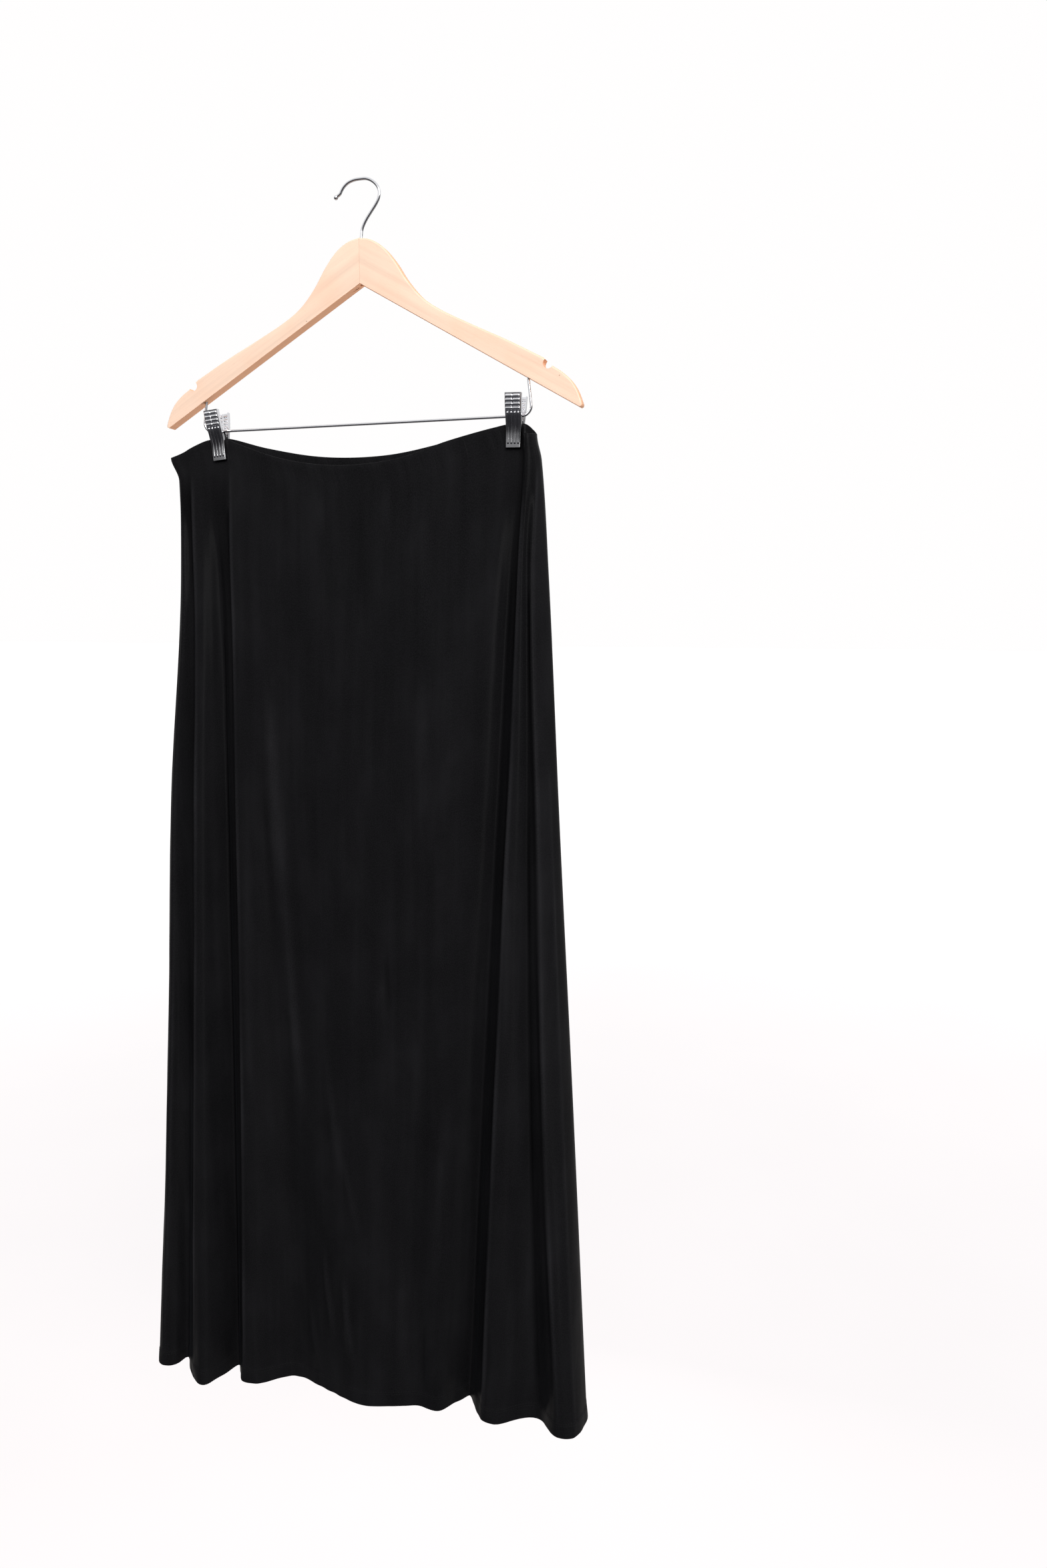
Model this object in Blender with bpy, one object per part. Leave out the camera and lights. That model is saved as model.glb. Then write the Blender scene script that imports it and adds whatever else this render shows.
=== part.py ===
"""A maxi skirt clipped to a wooden trouser hanger, as it hangs by the hook.

Run with: blender --background --python part.py
Metres, +Z up, -Y is the front of the skirt. The origin is where the hook rests on what holds it up.
The front is the face that is seen, +X is the right of that view.
"""

import math

import bmesh
import bpy
import numpy as np
from mathutils import Matrix, Vector

MM = 0.001
GAP = 0.3 * MM  # between pieces that touch

# The hook and the wire bar
HOOK_WIRE_RADIUS = 1.4 * MM
HOOK_BALL_RADIUS = 2.1 * MM
STEM_BOTTOM = -88.0 * MM
HOLE_RADIUS = HOOK_WIRE_RADIUS + GAP
BAR_RADIUS = 1.3 * MM
BAR_CENTRE_X = -4.3 * MM  # the bar sits a little left of the wood's middle
BAR_HEIGHT = -225.5 * MM
BAR_HALF_AT_WOOD = 173.1 * MM
BAR_HALF_AT_BEND = 176.0 * MM
BAR_BEND_RADIUS = 9.0 * MM
BAR_SOCKET_DEPTH = 9.0 * MM

# The wooden hanger, 445 mm across
WOOD_THICKNESS = 11.3 * MM
WOOD_APEX = -94.8 * MM  # where the two undersides meet
WOOD_TIP = (222.5 * MM, -219.6 * MM)
WOOD_ROUNDING = 1.6 * MM
NOTCH_CENTRE = (189.2 * MM, -180.2 * MM)
NOTCH_RADIUS = 4.9 * MM
SPLINE_SLOT = (7.0 * MM, 1.4 * MM, 3.0 * MM)  # the joint's key shows as a slot under the left arm

# The two clips: a name, the place on the bar and the lean of each
CLIPS = (
    {"name": "left", "x": -164.4 * MM, "lean": math.radians(-5.1)},
    {"name": "right", "x": 156.1 * MM, "lean": math.radians(1.9)},
)
JAW_SHEET = 0.9 * MM
JAW_TOP_WIDTH = 16.4 * MM
JAW_FOOT_WIDTH = 14.8 * MM
JAW_FLANGE = 4.2 * MM
FLANGE_CLEAR = 2.9 * MM  # no flange comes nearer than this to the clip's middle, where the cloth is
JAW_RELIEF = 0.6 * MM
JAW_RIBS = 4
JAW_RIB_PITCH = 3.7 * MM
JAW_BAR_ROWS = 4
JAW_BAR_PITCH = 3.7 * MM
JAW_TOP_BAR = 16.4 * MM
RING_OUTER_RADIUS = 6.75 * MM
RING_SHEET = 0.8 * MM
RING_WIDTH = 8.0 * MM
GRIP_PAD = {"top": -5.2 * MM, "foot": -28.5 * MM, "near": 2.8 * MM, "far": 4.5 * MM, "width": 12.4 * MM}

# The skirt's cloth
CLOTH = 1.4 * MM
CASING_THICKNESS = 1.8 * MM  # the turned waist edge, two layers and the elastic
CASING_DEPTH = 24.0 * MM
HEM_THICKNESS = 2.0 * MM
HEM_DEPTH = 20.0 * MM
HIP_HEIGHT = -370.0 * MM
THIGH_HEIGHT = -620.0 * MM
KNEE_HEIGHT = -950.0 * MM
HEM_HEIGHT = -1318.0 * MM  # at the middle
HEM_TILT = 0.0315  # the hem hangs a little lower on the left
SPAN_STEPS = 3  # columns between two fold lines
BODY_ROWS = 11

# One row for each line down the cloth, from the left side seam round the front, in millimetres.
# Each holds the line's place (x, y) at the waist edge, that edge's height, and its place at five levels below.
FOLD_COLUMNS = ("name", "waist", "edge", "casing", "hip", "thigh", "knee", "hem")
FRONT_FOLDS = (
    ("left seam", (-221.8, 0), -249.5, (-213.5, 0.5), (-218.6, 3), (-247, 6), (-271, 9), (-305, 8)),
    ("left edge", (-217, -3.4), -249.2, (-209.5, -3.4), (-212, -3), (-239, -1), (-263, 0), (-295, -1)),
    ("left flat", (-210, -3.2), -247.0, (-205.5, -3.4), (-207, -3), (-230, 0), (-255, 6), (-280, 5)),
    ("side valley", (-204, -2.6), -244.5, (-201.5, -2.6), (-202.5, -2.5), (-221, -1), (-244, 9), (-273, 20)),
    ("side ridge", (-198, -2.4), -241.5, (-197, -3.4), (-197.5, -4.5), (-208, -7), (-225, -9), (-245, -11)),
    ("side ridge crown", (-188, -2.2), -237.5, (-189, -3.2), (-190, -4.5), (-200, -8), (-213, -12), (-226, -18)),
    ("clip valley rim", (-179, -1.8), -234.5, (-180, -1.8), (-182, 0), (-192, 2), (-202, 5), (-213, 2)),
    ("clip valley", (-173, -1.5), -233.5, (-173, -1.5), (-173, 6), (-180, 12), (-191, 18), (-203, 22)),
    ("left clip middle", (-163, -1.5), -233.5, (-163, -1.5), (-163, 0), (-169, 3), (-179, 6.5), (-193, 10.5)),
    ("panel ridge", (-153, -1.5), -234.5, (-153, -1.5), (-153, -6), (-158, -6), (-167, -5), (-183, -1)),
    ("panel shoulder", (-141, -4), -239.0, (-141, -5.5), (-141, -8), (-144, -9), (-151, -6), (-166, -2)),
    ("soft valley", (-98, -9), -254.0, (-98, -9), (-100, -9), (-106, -7), (-112, 4), (-124, 22)),
    ("soft valley rim", (-62, -11), -262.0, (-62, -11), (-64, -11), (-68, -9), (-72, -3), (-76, 9)),
    ("panel middle", (-20, -12), -266.0, (-20, -12), (-20, -12), (-20, -10), (-20, -8), (-22, -4)),
    ("second dip", (38, -11), -261.5, (38, -11), (38, -11), (38, -7), (38, 0), (38, 10)),
    ("second rise", (92, -6), -245.5, (92, -6.5), (90, -8), (84, -6), (75, 0), (62, 7)),
    ("right clip inner", (146, -1.5), -233.5, (146, -1.5), (139, -3), (122, 2), (99, 11), (77, 25)),
    ("right clip middle", (155.5, -1.5), -233.5, (155.5, -1.5), (145.5, 0.5), (128, 6), (105.5, 17.5), (83.5, 33)),
    ("right valley", (164.3, -1.7), -234.0, (164.3, -1.7), (151, 3), (134, 10), (112, 24), (90, 41)),
    ("big fold edge", (167.2, -7.5), -240.5, (167, -8), (162.5, -8.5), (151, -9), (134, -4), (115, 7)),
    ("big fold face", (169.5, -12.4), -243.0, (170, -12), (166, -10.5), (160, -10), (149, -5), (131, 5)),
    ("big fold dip", (173, -11.5), -244.0, (175, -10.5), (170.5, -8), (170, -5), (171, 7), (176, 24)),
    ("inner ridge", (175.4, -7), -243.0, (178, -6), (174.5, -8), (181, -8), (189, -5), (205, 2)),
    ("right corner", (176.6, -1.5), -242.5, (180.5, 0), (182.5, 1), (192, 1), (206, 3), (222, 6)),
)
BACK_FOLDS = (
    ("right seam", (175.4, 4), -241.5, (180, 6), (186, 12), (197, 20), (213, 30), (229, 42)),
    ("back corner", (171.4, 7.2), -237.0, (174.5, 10), (178, 18), (188, 29), (202, 42), (214, 54)),
    ("right clip outer", (165.2, 1.7), -232.5, (165, 1.8), (163, 12), (166, 25), (173, 39), (184, 52)),
    ("right clip back", (155.5, 1.5), -232.5, (155.5, 1.5), (150, 10.5), (150, 22.5), (155, 37.5), (163, 52.5)),
    ("right clip back inner", (146, 1.5), -232.5, (146, 1.5), (139, 9), (138, 21), (140, 38), (146, 55)),
    ("back fold one", (90, 6), -244.0, (90, 7), (86, 11), (82, 22), (80, 35), (76, 52)),
    ("back dip", (20, 10), -254.5, (20, 10), (20, 12), (18, 18), (14, 27), (8, 38)),
    ("back fold two", (-50, 9), -254.0, (-50, 9.5), (-50, 13), (-52, 20), (-56, 32), (-62, 48)),
    ("back dip two", (-112, 6), -243.5, (-112, 6), (-112, 10), (-116, 17), (-122, 26), (-130, 36)),
    ("left clip back inner", (-153, 1.5), -233.0, (-153, 1.5), (-154, 11), (-162, 21), (-172, 31), (-184, 46)),
    ("left clip back", (-163, 1.5), -233.0, (-163, 1.5), (-166, 11), (-175, 20.5), (-187.5, 30), (-204, 42)),
    ("left clip outer", (-173, 1.5), -233.0, (-173, 1.5), (-178, 11), (-188, 20), (-203, 29), (-224, 38)),
    ("back left fold", (-203, 3), -243.5, (-198, 4), (-202, 9), (-222, 16), (-242, 25), (-268, 39)),
    ("back left end", (-217, 3.6), -249.0, (-209, 4.6), (-213, 8.5), (-239, 12), (-262, 17), (-294, 24)),
)


def clear_scene():
    for thing in list(bpy.data.objects):
        bpy.data.objects.remove(thing, do_unlink=True)


def make_material(name, colour, roughness, metallic=0.0):
    material = bpy.data.materials.new(name)
    material.use_nodes = True
    shader = material.node_tree.nodes["Principled BSDF"]
    shader.inputs["Base Color"].default_value = (*colour, 1.0)
    shader.inputs["Roughness"].default_value = roughness
    shader.inputs["Metallic"].default_value = metallic
    return material


def add_object(name, mesh_maker, material, smooth_below=math.radians(40)):
    """A named object from a bmesh, its faces turned outwards and its round parts smooth."""
    bmesh.ops.recalc_face_normals(mesh_maker, faces=mesh_maker.faces)
    mesh = bpy.data.meshes.new(name)
    mesh_maker.to_mesh(mesh)
    mesh_maker.free()
    mesh.materials.append(material)
    mesh.shade_smooth()
    mesh.set_sharp_from_angle(angle=smooth_below)
    thing = bpy.data.objects.new(name, mesh)
    bpy.context.scene.collection.objects.link(thing)
    return thing


def boolean(target, other, operation):
    """Cuts or joins another object, which stays as a hidden guide."""
    other.hide_render = True
    other.display_type = "WIRE"
    modifier = target.modifiers.new(operation.lower(), "BOOLEAN")
    modifier.operation = operation
    modifier.object = other
    return modifier


def cylinder(name, centre, radius, depth, axis, material, sides=20):
    """A closed cylinder along X, Y or Z."""
    maker = bmesh.new()
    turn = {"X": Matrix.Rotation(math.pi / 2, 4, "Y"), "Y": Matrix.Rotation(math.pi / 2, 4, "X"), "Z": Matrix()}
    bmesh.ops.create_cone(
        maker, cap_ends=True, segments=sides, radius1=radius, radius2=radius, depth=depth,
        matrix=Matrix.Translation(centre) @ turn[axis],
    )
    return add_object(name, maker, material)


def smooth_run(points, steps):
    """Points along a smooth curve through hand-set points."""
    points = [Vector(point) for point in points]
    ends = [2 * points[0] - points[1], *points, 2 * points[-1] - points[-2]]
    run = []
    for before, start, end, after in zip(ends, ends[1:], ends[2:], ends[3:]):
        for step in range(steps):
            t = step / steps
            run.append(0.5 * (
                2 * start + (end - before) * t + (2 * before - 5 * start + 4 * end - after) * t ** 2
                + (3 * start - before - 3 * end + after) * t ** 3
            ))
    return run + [points[-1]]


def wire(name, path, radius_at, sides, material):
    """A round wire along a path in the XZ plane, its radius given by the distance from its start."""
    maker = bmesh.new()
    across = Vector((0.0, 1.0, 0.0))
    rings = []
    travelled = 0.0
    for index, point in enumerate(path):
        ahead = path[min(index + 1, len(path) - 1)]
        behind = path[max(index - 1, 0)]
        travelled += (point - behind).length if index else 0.0
        sideways = (ahead - behind).normalized().cross(across)
        radius = radius_at(travelled)
        ring = []
        for side in range(sides):
            angle = math.tau * side / sides
            ring.append(maker.verts.new(point + radius * (math.cos(angle) * sideways + math.sin(angle) * across)))
        rings.append(ring)
    for first, second in zip(rings, rings[1:]):
        for side in range(sides):
            after = (side + 1) % sides
            maker.faces.new((first[side], first[after], second[after], second[side]))
    maker.faces.new(rings[0])
    maker.faces.new(rings[-1])
    return add_object(name, maker, material)


def hook_radius(travelled):
    """The wire's radius, swelling to a ball at its start."""
    from_centre = travelled - HOOK_BALL_RADIUS
    if from_centre < HOOK_BALL_RADIUS:
        ball = math.sqrt(max(HOOK_BALL_RADIUS ** 2 - from_centre ** 2, (0.3 * HOOK_BALL_RADIUS) ** 2))
        return ball if from_centre < 0 else max(ball, HOOK_WIRE_RADIUS)
    return HOOK_WIRE_RADIUS


def make_hook(material):
    """The swivel hook: ball end, small curl, round crook, neck and straight stem into the wood."""
    crook = [(x * MM, 0.0, z * MM) for x, z in (
        (-24.0, -11.9), (-21.4, -10.2), (-19.7, -7.4), (-17.0, -4.0), (-12.5, -0.8), (-6.5, 1.0), (0.0, 1.4),
        (6.5, 1.0), (12.2, -1.4), (17.0, -5.6), (19.5, -10.8), (19.2, -16.6), (16.0, -22.6), (10.6, -29.4),
        (5.2, -36.4), (1.4, -43.4), (0.0, -51.0),
    )]
    start = Vector(crook[0])
    heading = (start - Vector(crook[1])).normalized()
    ball = [start + heading * HOOK_BALL_RADIUS * reach for reach in (2.0, 1.8, 1.4, 1.0, 0.6, 0.3)]
    path = ball + smooth_run(crook, 3) + [Vector((0.0, 0.0, STEM_BOTTOM))]
    return wire("hook", path, hook_radius, 10, material)


def arm_outline():
    """The right arm's outline in X and Z, from the top of the mitre round to the apex underneath."""
    shoulder = [(x * MM, 0.0, z * MM) for x, z in (
        (0.0, -53.0), (12.5, -56.0), (25.0, -64.0), (37.0, -77.8), (49.0, -95.6), (64.5, -112.6), (83.5, -125.2),
        (114.0, -140.2), (150.0, -157.0), (184.0, -174.4),
    )]
    nose = [(x * MM, 0.0, z * MM) for x, z in (
        (194.4, -183.3), (203.0, -188.8), (211.5, -196.4), (217.5, -205.4), (221.4, -214.6),
    )]
    tip_x, tip_z = WOOD_TIP
    upper = smooth_run(shoulder, 3) + smooth_run(nose, 2)
    tip = [Vector((tip_x, 0.0, tip_z)), Vector((tip_x - 2.4 * MM, 0.0, tip_z - 0.6 * MM))]
    return upper + tip + [Vector((0.0, 0.0, WOOD_APEX))]


def make_arm(name, side, material):
    """One arm of the hanger, mitred at the middle, with its notch and the holes for the wires."""
    maker = bmesh.new()
    inset = GAP / 2
    half = WOOD_THICKNESS / 2
    outline = [Vector((side * max(point.x, inset), 0.0, point.z)) for point in arm_outline()]
    front = maker.faces.new([maker.verts.new(point + Vector((0.0, -half, 0.0))) for point in outline])
    grown = bmesh.ops.extrude_face_region(maker, geom=[front])
    moved = [part for part in grown["geom"] if isinstance(part, bmesh.types.BMVert)]
    bmesh.ops.translate(maker, vec=(0.0, WOOD_THICKNESS, 0.0), verts=moved)
    bmesh.ops.recalc_face_normals(maker, faces=maker.faces)
    rims = []
    for edge in maker.edges:
        first, second = (vertex.co for vertex in edge.verts)
        along_face = abs(first.y - second.y) < 0.1 * MM
        on_mitre = abs(first.x) < 1.0 * MM and abs(second.x) < 1.0 * MM
        if along_face and not on_mitre:
            rims.append(edge)
    bmesh.ops.bevel(
        maker, geom=rims, offset=WOOD_ROUNDING, segments=2, profile=0.5, affect="EDGES", clamp_overlap=True,
    )
    arm = add_object(name, maker, material)
    notch_x, notch_z = NOTCH_CENTRE
    notch = cylinder(
        f"{name}_notch_cutter", (side * notch_x, 0.0, notch_z), NOTCH_RADIUS, 2 * WOOD_THICKNESS, "Y", material, 24,
    )
    boolean(arm, notch, "DIFFERENCE")
    hole = cylinder(f"{name}_hook_cutter", (0.0, 0.0, -75.0 * MM), HOLE_RADIUS, 60.0 * MM, "Z", material, 16)
    boolean(arm, hole, "DIFFERENCE")
    leg_x = BAR_CENTRE_X + side * BAR_HALF_AT_WOOD
    socket_top = underside_at(leg_x) + BAR_SOCKET_DEPTH + GAP
    socket = cylinder(
        f"{name}_bar_cutter", (leg_x, 0.0, socket_top - 15.0 * MM), BAR_RADIUS + GAP, 30.0 * MM, "Z", material, 12,
    )
    boolean(arm, socket, "DIFFERENCE")
    return arm


def underside_at(x):
    """The height of the hanger's straight underside."""
    tip_x, tip_z = WOOD_TIP
    return WOOD_APEX + (tip_z - WOOD_APEX) * abs(x) / tip_x


def cut_spline_slot(arm, material):
    """The slot of the joint's key, cut along the underside close to the mitre."""
    length, width, depth = SPLINE_SLOT
    maker = bmesh.new()
    bmesh.ops.create_cube(maker, size=1.0)
    bmesh.ops.scale(maker, vec=(length, width, 2 * depth), verts=maker.verts)
    tip_x, tip_z = WOOD_TIP
    slope = math.atan2(WOOD_APEX - tip_z, tip_x)
    middle_x = -6.5 * MM
    place = Matrix.Translation((middle_x, 1.2 * MM, underside_at(middle_x))) @ Matrix.Rotation(-slope, 4, "Y")
    bmesh.ops.transform(maker, matrix=place, verts=maker.verts)
    boolean(arm, add_object("spline_slot_cutter", maker, material), "DIFFERENCE")


def make_bar(material):
    """The wire trouser bar: two legs up into the wood, round bends and the straight run."""
    half = BAR_HALF_AT_BEND
    left_leg = BAR_CENTRE_X - BAR_HALF_AT_WOOD
    right_leg = BAR_CENTRE_X + BAR_HALF_AT_WOOD
    bend_z = BAR_HEIGHT + BAR_BEND_RADIUS
    path = [Vector((left_leg, 0.0, underside_at(left_leg) + BAR_SOCKET_DEPTH))]
    path.append(Vector((left_leg, 0.0, underside_at(left_leg) - 2.0 * MM)))
    for side in (-1, 1):
        centre = Vector((BAR_CENTRE_X + side * (half - BAR_BEND_RADIUS), 0.0, bend_z))
        turns = [math.radians(step * 15) for step in range(7)]
        for turn in turns if side < 0 else reversed(turns):
            path.append(centre + BAR_BEND_RADIUS * Vector((side * math.cos(turn), 0.0, -math.sin(turn))))
    path.append(Vector((right_leg, 0.0, underside_at(right_leg) - 2.0 * MM)))
    path.append(Vector((right_leg, 0.0, underside_at(right_leg) + BAR_SOCKET_DEPTH)))
    return wire("clip_bar", path, lambda travelled: BAR_RADIUS, 8, material)


def jaw_profile(steps):
    """The bent jaw's middle line from its top to its foot: distance from the clip's middle, and height."""
    bends = [(0.0, y * MM, z * MM) for y, z in (
        (12.2, 19.5), (11.4, 12.0), (9.4, 2.5), (7.3, -5.0), (5.8, -12.0), (5.3, -20.0), (5.3, -29.5),
    )]
    return [(point.y, point.z) for point in smooth_run(bends, steps)]


def strip_along(maker, profile, low, high, section):
    """A closed strip that follows the jaw's profile between two heights; section holds (side, lift) corners."""
    rings = []
    for index, (y, z) in enumerate(profile):
        if not low <= z <= high:
            continue
        after = profile[min(index + 1, len(profile) - 1)]
        before = profile[max(index - 1, 0)]
        run = Vector((0.0, after[0] - before[0], after[1] - before[1])).normalized()
        outwards = Vector((0.0, -run.z, run.y))
        share = (profile[0][1] - z) / (profile[0][1] - profile[-1][1])
        width = 1.0 + (JAW_FOOT_WIDTH / JAW_TOP_WIDTH - 1.0) * share
        middle = Vector((0.0, y, z))
        ring = []
        for x, lift in section:
            reach = max(lift, FLANGE_CLEAR - y)
            ring.append(maker.verts.new(middle + outwards * reach + Vector((x * width, 0.0, 0.0))))
        rings.append(ring)
    for first, second in zip(rings, rings[1:]):
        for corner in range(len(section)):
            after = (corner + 1) % len(section)
            maker.faces.new((first[corner], first[after], second[after], second[corner]))
    maker.faces.new(rings[0])
    maker.faces.new(rings[-1])


def make_jaw(name, place, material):
    """A stamped jaw: a channel of bent sheet with raised ribs below and rows of raised bars above."""
    profile = jaw_profile(2)
    half = JAW_TOP_WIDTH / 2
    skin = JAW_SHEET / 2
    lip = half - JAW_SHEET
    channel = (
        (-half, skin), (half, skin), (half, skin - JAW_FLANGE), (lip, skin - JAW_FLANGE),
        (lip, -skin), (-lip, -skin), (-lip, skin - JAW_FLANGE), (-half, skin - JAW_FLANGE),
    )
    maker = bmesh.new()
    strip_along(maker, profile, profile[-1][1], profile[0][1], channel)
    bmesh.ops.transform(maker, matrix=place, verts=maker.verts)
    jaw = add_object(name, maker, material, math.radians(30))
    relief = bmesh.new()
    for number in range(JAW_RIBS):
        middle = (number - (JAW_RIBS - 1) / 2) * JAW_RIB_PITCH
        rib = ((middle - 1.1 * MM, 0.0), (middle + 1.1 * MM, 0.0), (middle + 0.6 * MM, skin + JAW_RELIEF),
               (middle - 0.6 * MM, skin + JAW_RELIEF))
        strip_along(relief, profile, -26.5 * MM, 3.0 * MM, rib)
    for row in range(JAW_BAR_ROWS):
        for column in (-1, 1):
            add_grip_bar(relief, profile, row, column)
    bmesh.ops.transform(relief, matrix=place, verts=relief.verts)
    boolean(jaw, add_object(f"{name}_relief_guide", relief, material), "UNION")
    return jaw


def add_grip_bar(maker, profile, row, column):
    """One raised bar of the finger grip at the top of a jaw."""
    height = JAW_TOP_BAR - JAW_BAR_PITCH * row
    heights = [z for _, z in reversed(profile)]
    outs = [y for y, _ in reversed(profile)]
    out = float(np.interp(height, heights, outs))
    bar = bmesh.ops.create_cube(maker, size=1.0)["verts"]
    bmesh.ops.scale(maker, vec=(6.2 * MM, 2 * (JAW_SHEET / 2 + JAW_RELIEF), 1.9 * MM), verts=bar)
    bmesh.ops.translate(maker, vec=(column * JAW_RIB_PITCH, out, height), verts=bar)


def make_grip_pad(name, place, material):
    """The rubber block inside a jaw, which holds the cloth."""
    maker = bmesh.new()
    bmesh.ops.create_cube(maker, size=1.0)
    size = (GRIP_PAD["width"], GRIP_PAD["far"] - GRIP_PAD["near"], GRIP_PAD["top"] - GRIP_PAD["foot"])
    middle = (0.0, (GRIP_PAD["far"] + GRIP_PAD["near"]) / 2, (GRIP_PAD["top"] + GRIP_PAD["foot"]) / 2)
    bmesh.ops.scale(maker, vec=size, verts=maker.verts)
    bmesh.ops.translate(maker, vec=middle, verts=maker.verts)
    bmesh.ops.transform(maker, matrix=place, verts=maker.verts)
    return add_object(name, maker, material)


def make_spring(name, place, material):
    """The round strip spring that hangs on the bar and spreads the jaws."""
    maker = bmesh.new()
    inner = RING_OUTER_RADIUS - RING_SHEET
    drop = inner - BAR_RADIUS - GAP
    rings = []
    for step in range(21):
        angle = math.radians(-25 + 230 * step / 20)
        ring = []
        for x, radius in ((-1, inner), (1, inner), (1, RING_OUTER_RADIUS), (-1, RING_OUTER_RADIUS)):
            ring.append(maker.verts.new((
                x * RING_WIDTH / 2, radius * math.cos(angle), radius * math.sin(angle) - drop,
            )))
        rings.append(ring)
    for first, second in zip(rings, rings[1:]):
        for corner in range(4):
            after = (corner + 1) % 4
            maker.faces.new((first[corner], first[after], second[after], second[corner]))
    maker.faces.new(rings[0])
    maker.faces.new(rings[-1])
    bmesh.ops.transform(maker, matrix=place, verts=maker.verts)
    return add_object(name, maker, material)


def make_clip(clip, chrome, rubber):
    """A clip: two jaws, two rubber pads and a spring, placed on the bar."""
    name = f"clip_{clip['name']}"
    at_bar = Matrix.Translation((clip["x"], 0.0, BAR_HEIGHT)) @ Matrix.Rotation(clip["lean"], 4, "Y")
    for face, turn in (("back", 0.0), ("front", math.pi)):
        place = at_bar @ Matrix.Rotation(turn, 4, "Z")
        make_jaw(f"{name}_{face}_jaw", place, chrome)
        make_grip_pad(f"{name}_{face}_pad", place, rubber)
    make_spring(f"{name}_spring", at_bar, chrome)


def eased(stations, values, at):
    """Values between stations along a line, with no overshoot (a monotone cubic)."""
    stations = np.asarray(stations, float)
    values = np.asarray(values, float)
    runs = np.diff(stations)
    slopes = np.diff(values) / runs
    tangents = np.zeros(len(values))
    for index in range(1, len(values) - 1):
        before, after = slopes[index - 1], slopes[index]
        if before * after > 0:
            weight_a = 2 * runs[index] + runs[index - 1]
            weight_b = runs[index] + 2 * runs[index - 1]
            tangents[index] = (weight_a + weight_b) / (weight_a / before + weight_b / after)
    tangents[-1] = slopes[-1]
    found = []
    for place in at:
        index = int(np.clip(np.searchsorted(stations, place) - 1, 0, len(runs) - 1))
        t = (place - stations[index]) / runs[index]
        step = runs[index]
        found.append(
            values[index] * (2 * t ** 3 - 3 * t ** 2 + 1) + step * tangents[index] * (t ** 3 - 2 * t ** 2 + t)
            + values[index + 1] * (3 * t ** 2 - 2 * t ** 3) + step * tangents[index + 1] * (t ** 3 - t ** 2)
        )
    return np.array(found)


def fold_line(row, shares):
    """Points down one fold line, at shares of the way from the waist edge to the hem."""
    line = dict(zip(FOLD_COLUMNS, row))
    edge = line["edge"] * MM
    hem = HEM_HEIGHT + HEM_TILT * line["hem"][0] * MM
    heights = np.array([edge, edge - CASING_DEPTH, HIP_HEIGHT, THIGH_HEIGHT, KNEE_HEIGHT, hem])
    places = [line[level] for level in ("waist", "casing", "hip", "thigh", "knee", "hem")]
    at = edge + (hem - edge) * shares
    x = eased(-heights, [place[0] * MM for place in places], -at)
    y = eased(-heights, [place[1] * MM for place in places], -at)
    return np.column_stack([x, y, at])


def row_shares():
    """The rows of the cloth, as shares of its length: the casing, the body and the hem."""
    length = abs(HEM_HEIGHT) - 250.0 * MM
    casing = [0.0, 0.5 * CASING_DEPTH / length, CASING_DEPTH / length, (CASING_DEPTH + 3 * MM) / length]
    hem = [1.0 - (HEM_DEPTH + 3 * MM) / length, 1.0 - HEM_DEPTH / length, 1.0]
    body = [casing[-1] + (hem[0] - casing[-1]) * step / BODY_ROWS for step in range(1, BODY_ROWS)]
    return np.array(casing + body + hem)


def thickness_at(shares):
    """The cloth's thickness down each row: thicker in the waist casing and the turned hem."""
    length = abs(HEM_HEIGHT) - 250.0 * MM
    wall = np.full(len(shares), CLOTH)
    wall[shares * length < CASING_DEPTH + 1 * MM] = CASING_THICKNESS
    wall[(1.0 - shares) * length < HEM_DEPTH + 1 * MM] = HEM_THICKNESS
    return wall


def blend(first, second, start, end, at):
    """Between two runs of points by where a value lies between two others, row by row."""
    share = ((at - start) / (end - start))[:, None]
    return first * (1.0 - share) + second * share


def closed_curve(points, steps):
    """A smooth closed curve through each row's points (a centripetal one, so that it never loops)."""
    count = len(points)
    curve = []
    for index in range(count):
        a, b, c, d = (points[(index + shift) % count] for shift in (-1, 0, 1, 2))
        knot_b = np.sqrt(np.linalg.norm(b - a, axis=1))
        knot_c = knot_b + np.sqrt(np.linalg.norm(c - b, axis=1))
        knot_d = knot_c + np.sqrt(np.linalg.norm(d - c, axis=1))
        start = np.zeros(len(a))
        for step in range(steps):
            at = knot_b + (knot_c - knot_b) * step / steps
            ab = blend(a, b, start, knot_b, at)
            bc = blend(b, c, knot_b, knot_c, at)
            cd = blend(c, d, knot_c, knot_d, at)
            abc = blend(ab, bc, start, knot_c, at)
            bcd = blend(bc, cd, knot_b, knot_d, at)
            curve.append(blend(abc, bcd, knot_b, knot_c, at))
    return np.array(curve)


def skirt_surface(steps):
    """The whole tube's middle surface, and the column where the back begins."""
    shares = row_shares()
    lines = np.array([fold_line(row, shares) for row in FRONT_FOLDS + BACK_FOLDS])
    surface = closed_curve(lines, steps)
    return surface, len(FRONT_FOLDS) * steps, shares


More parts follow.
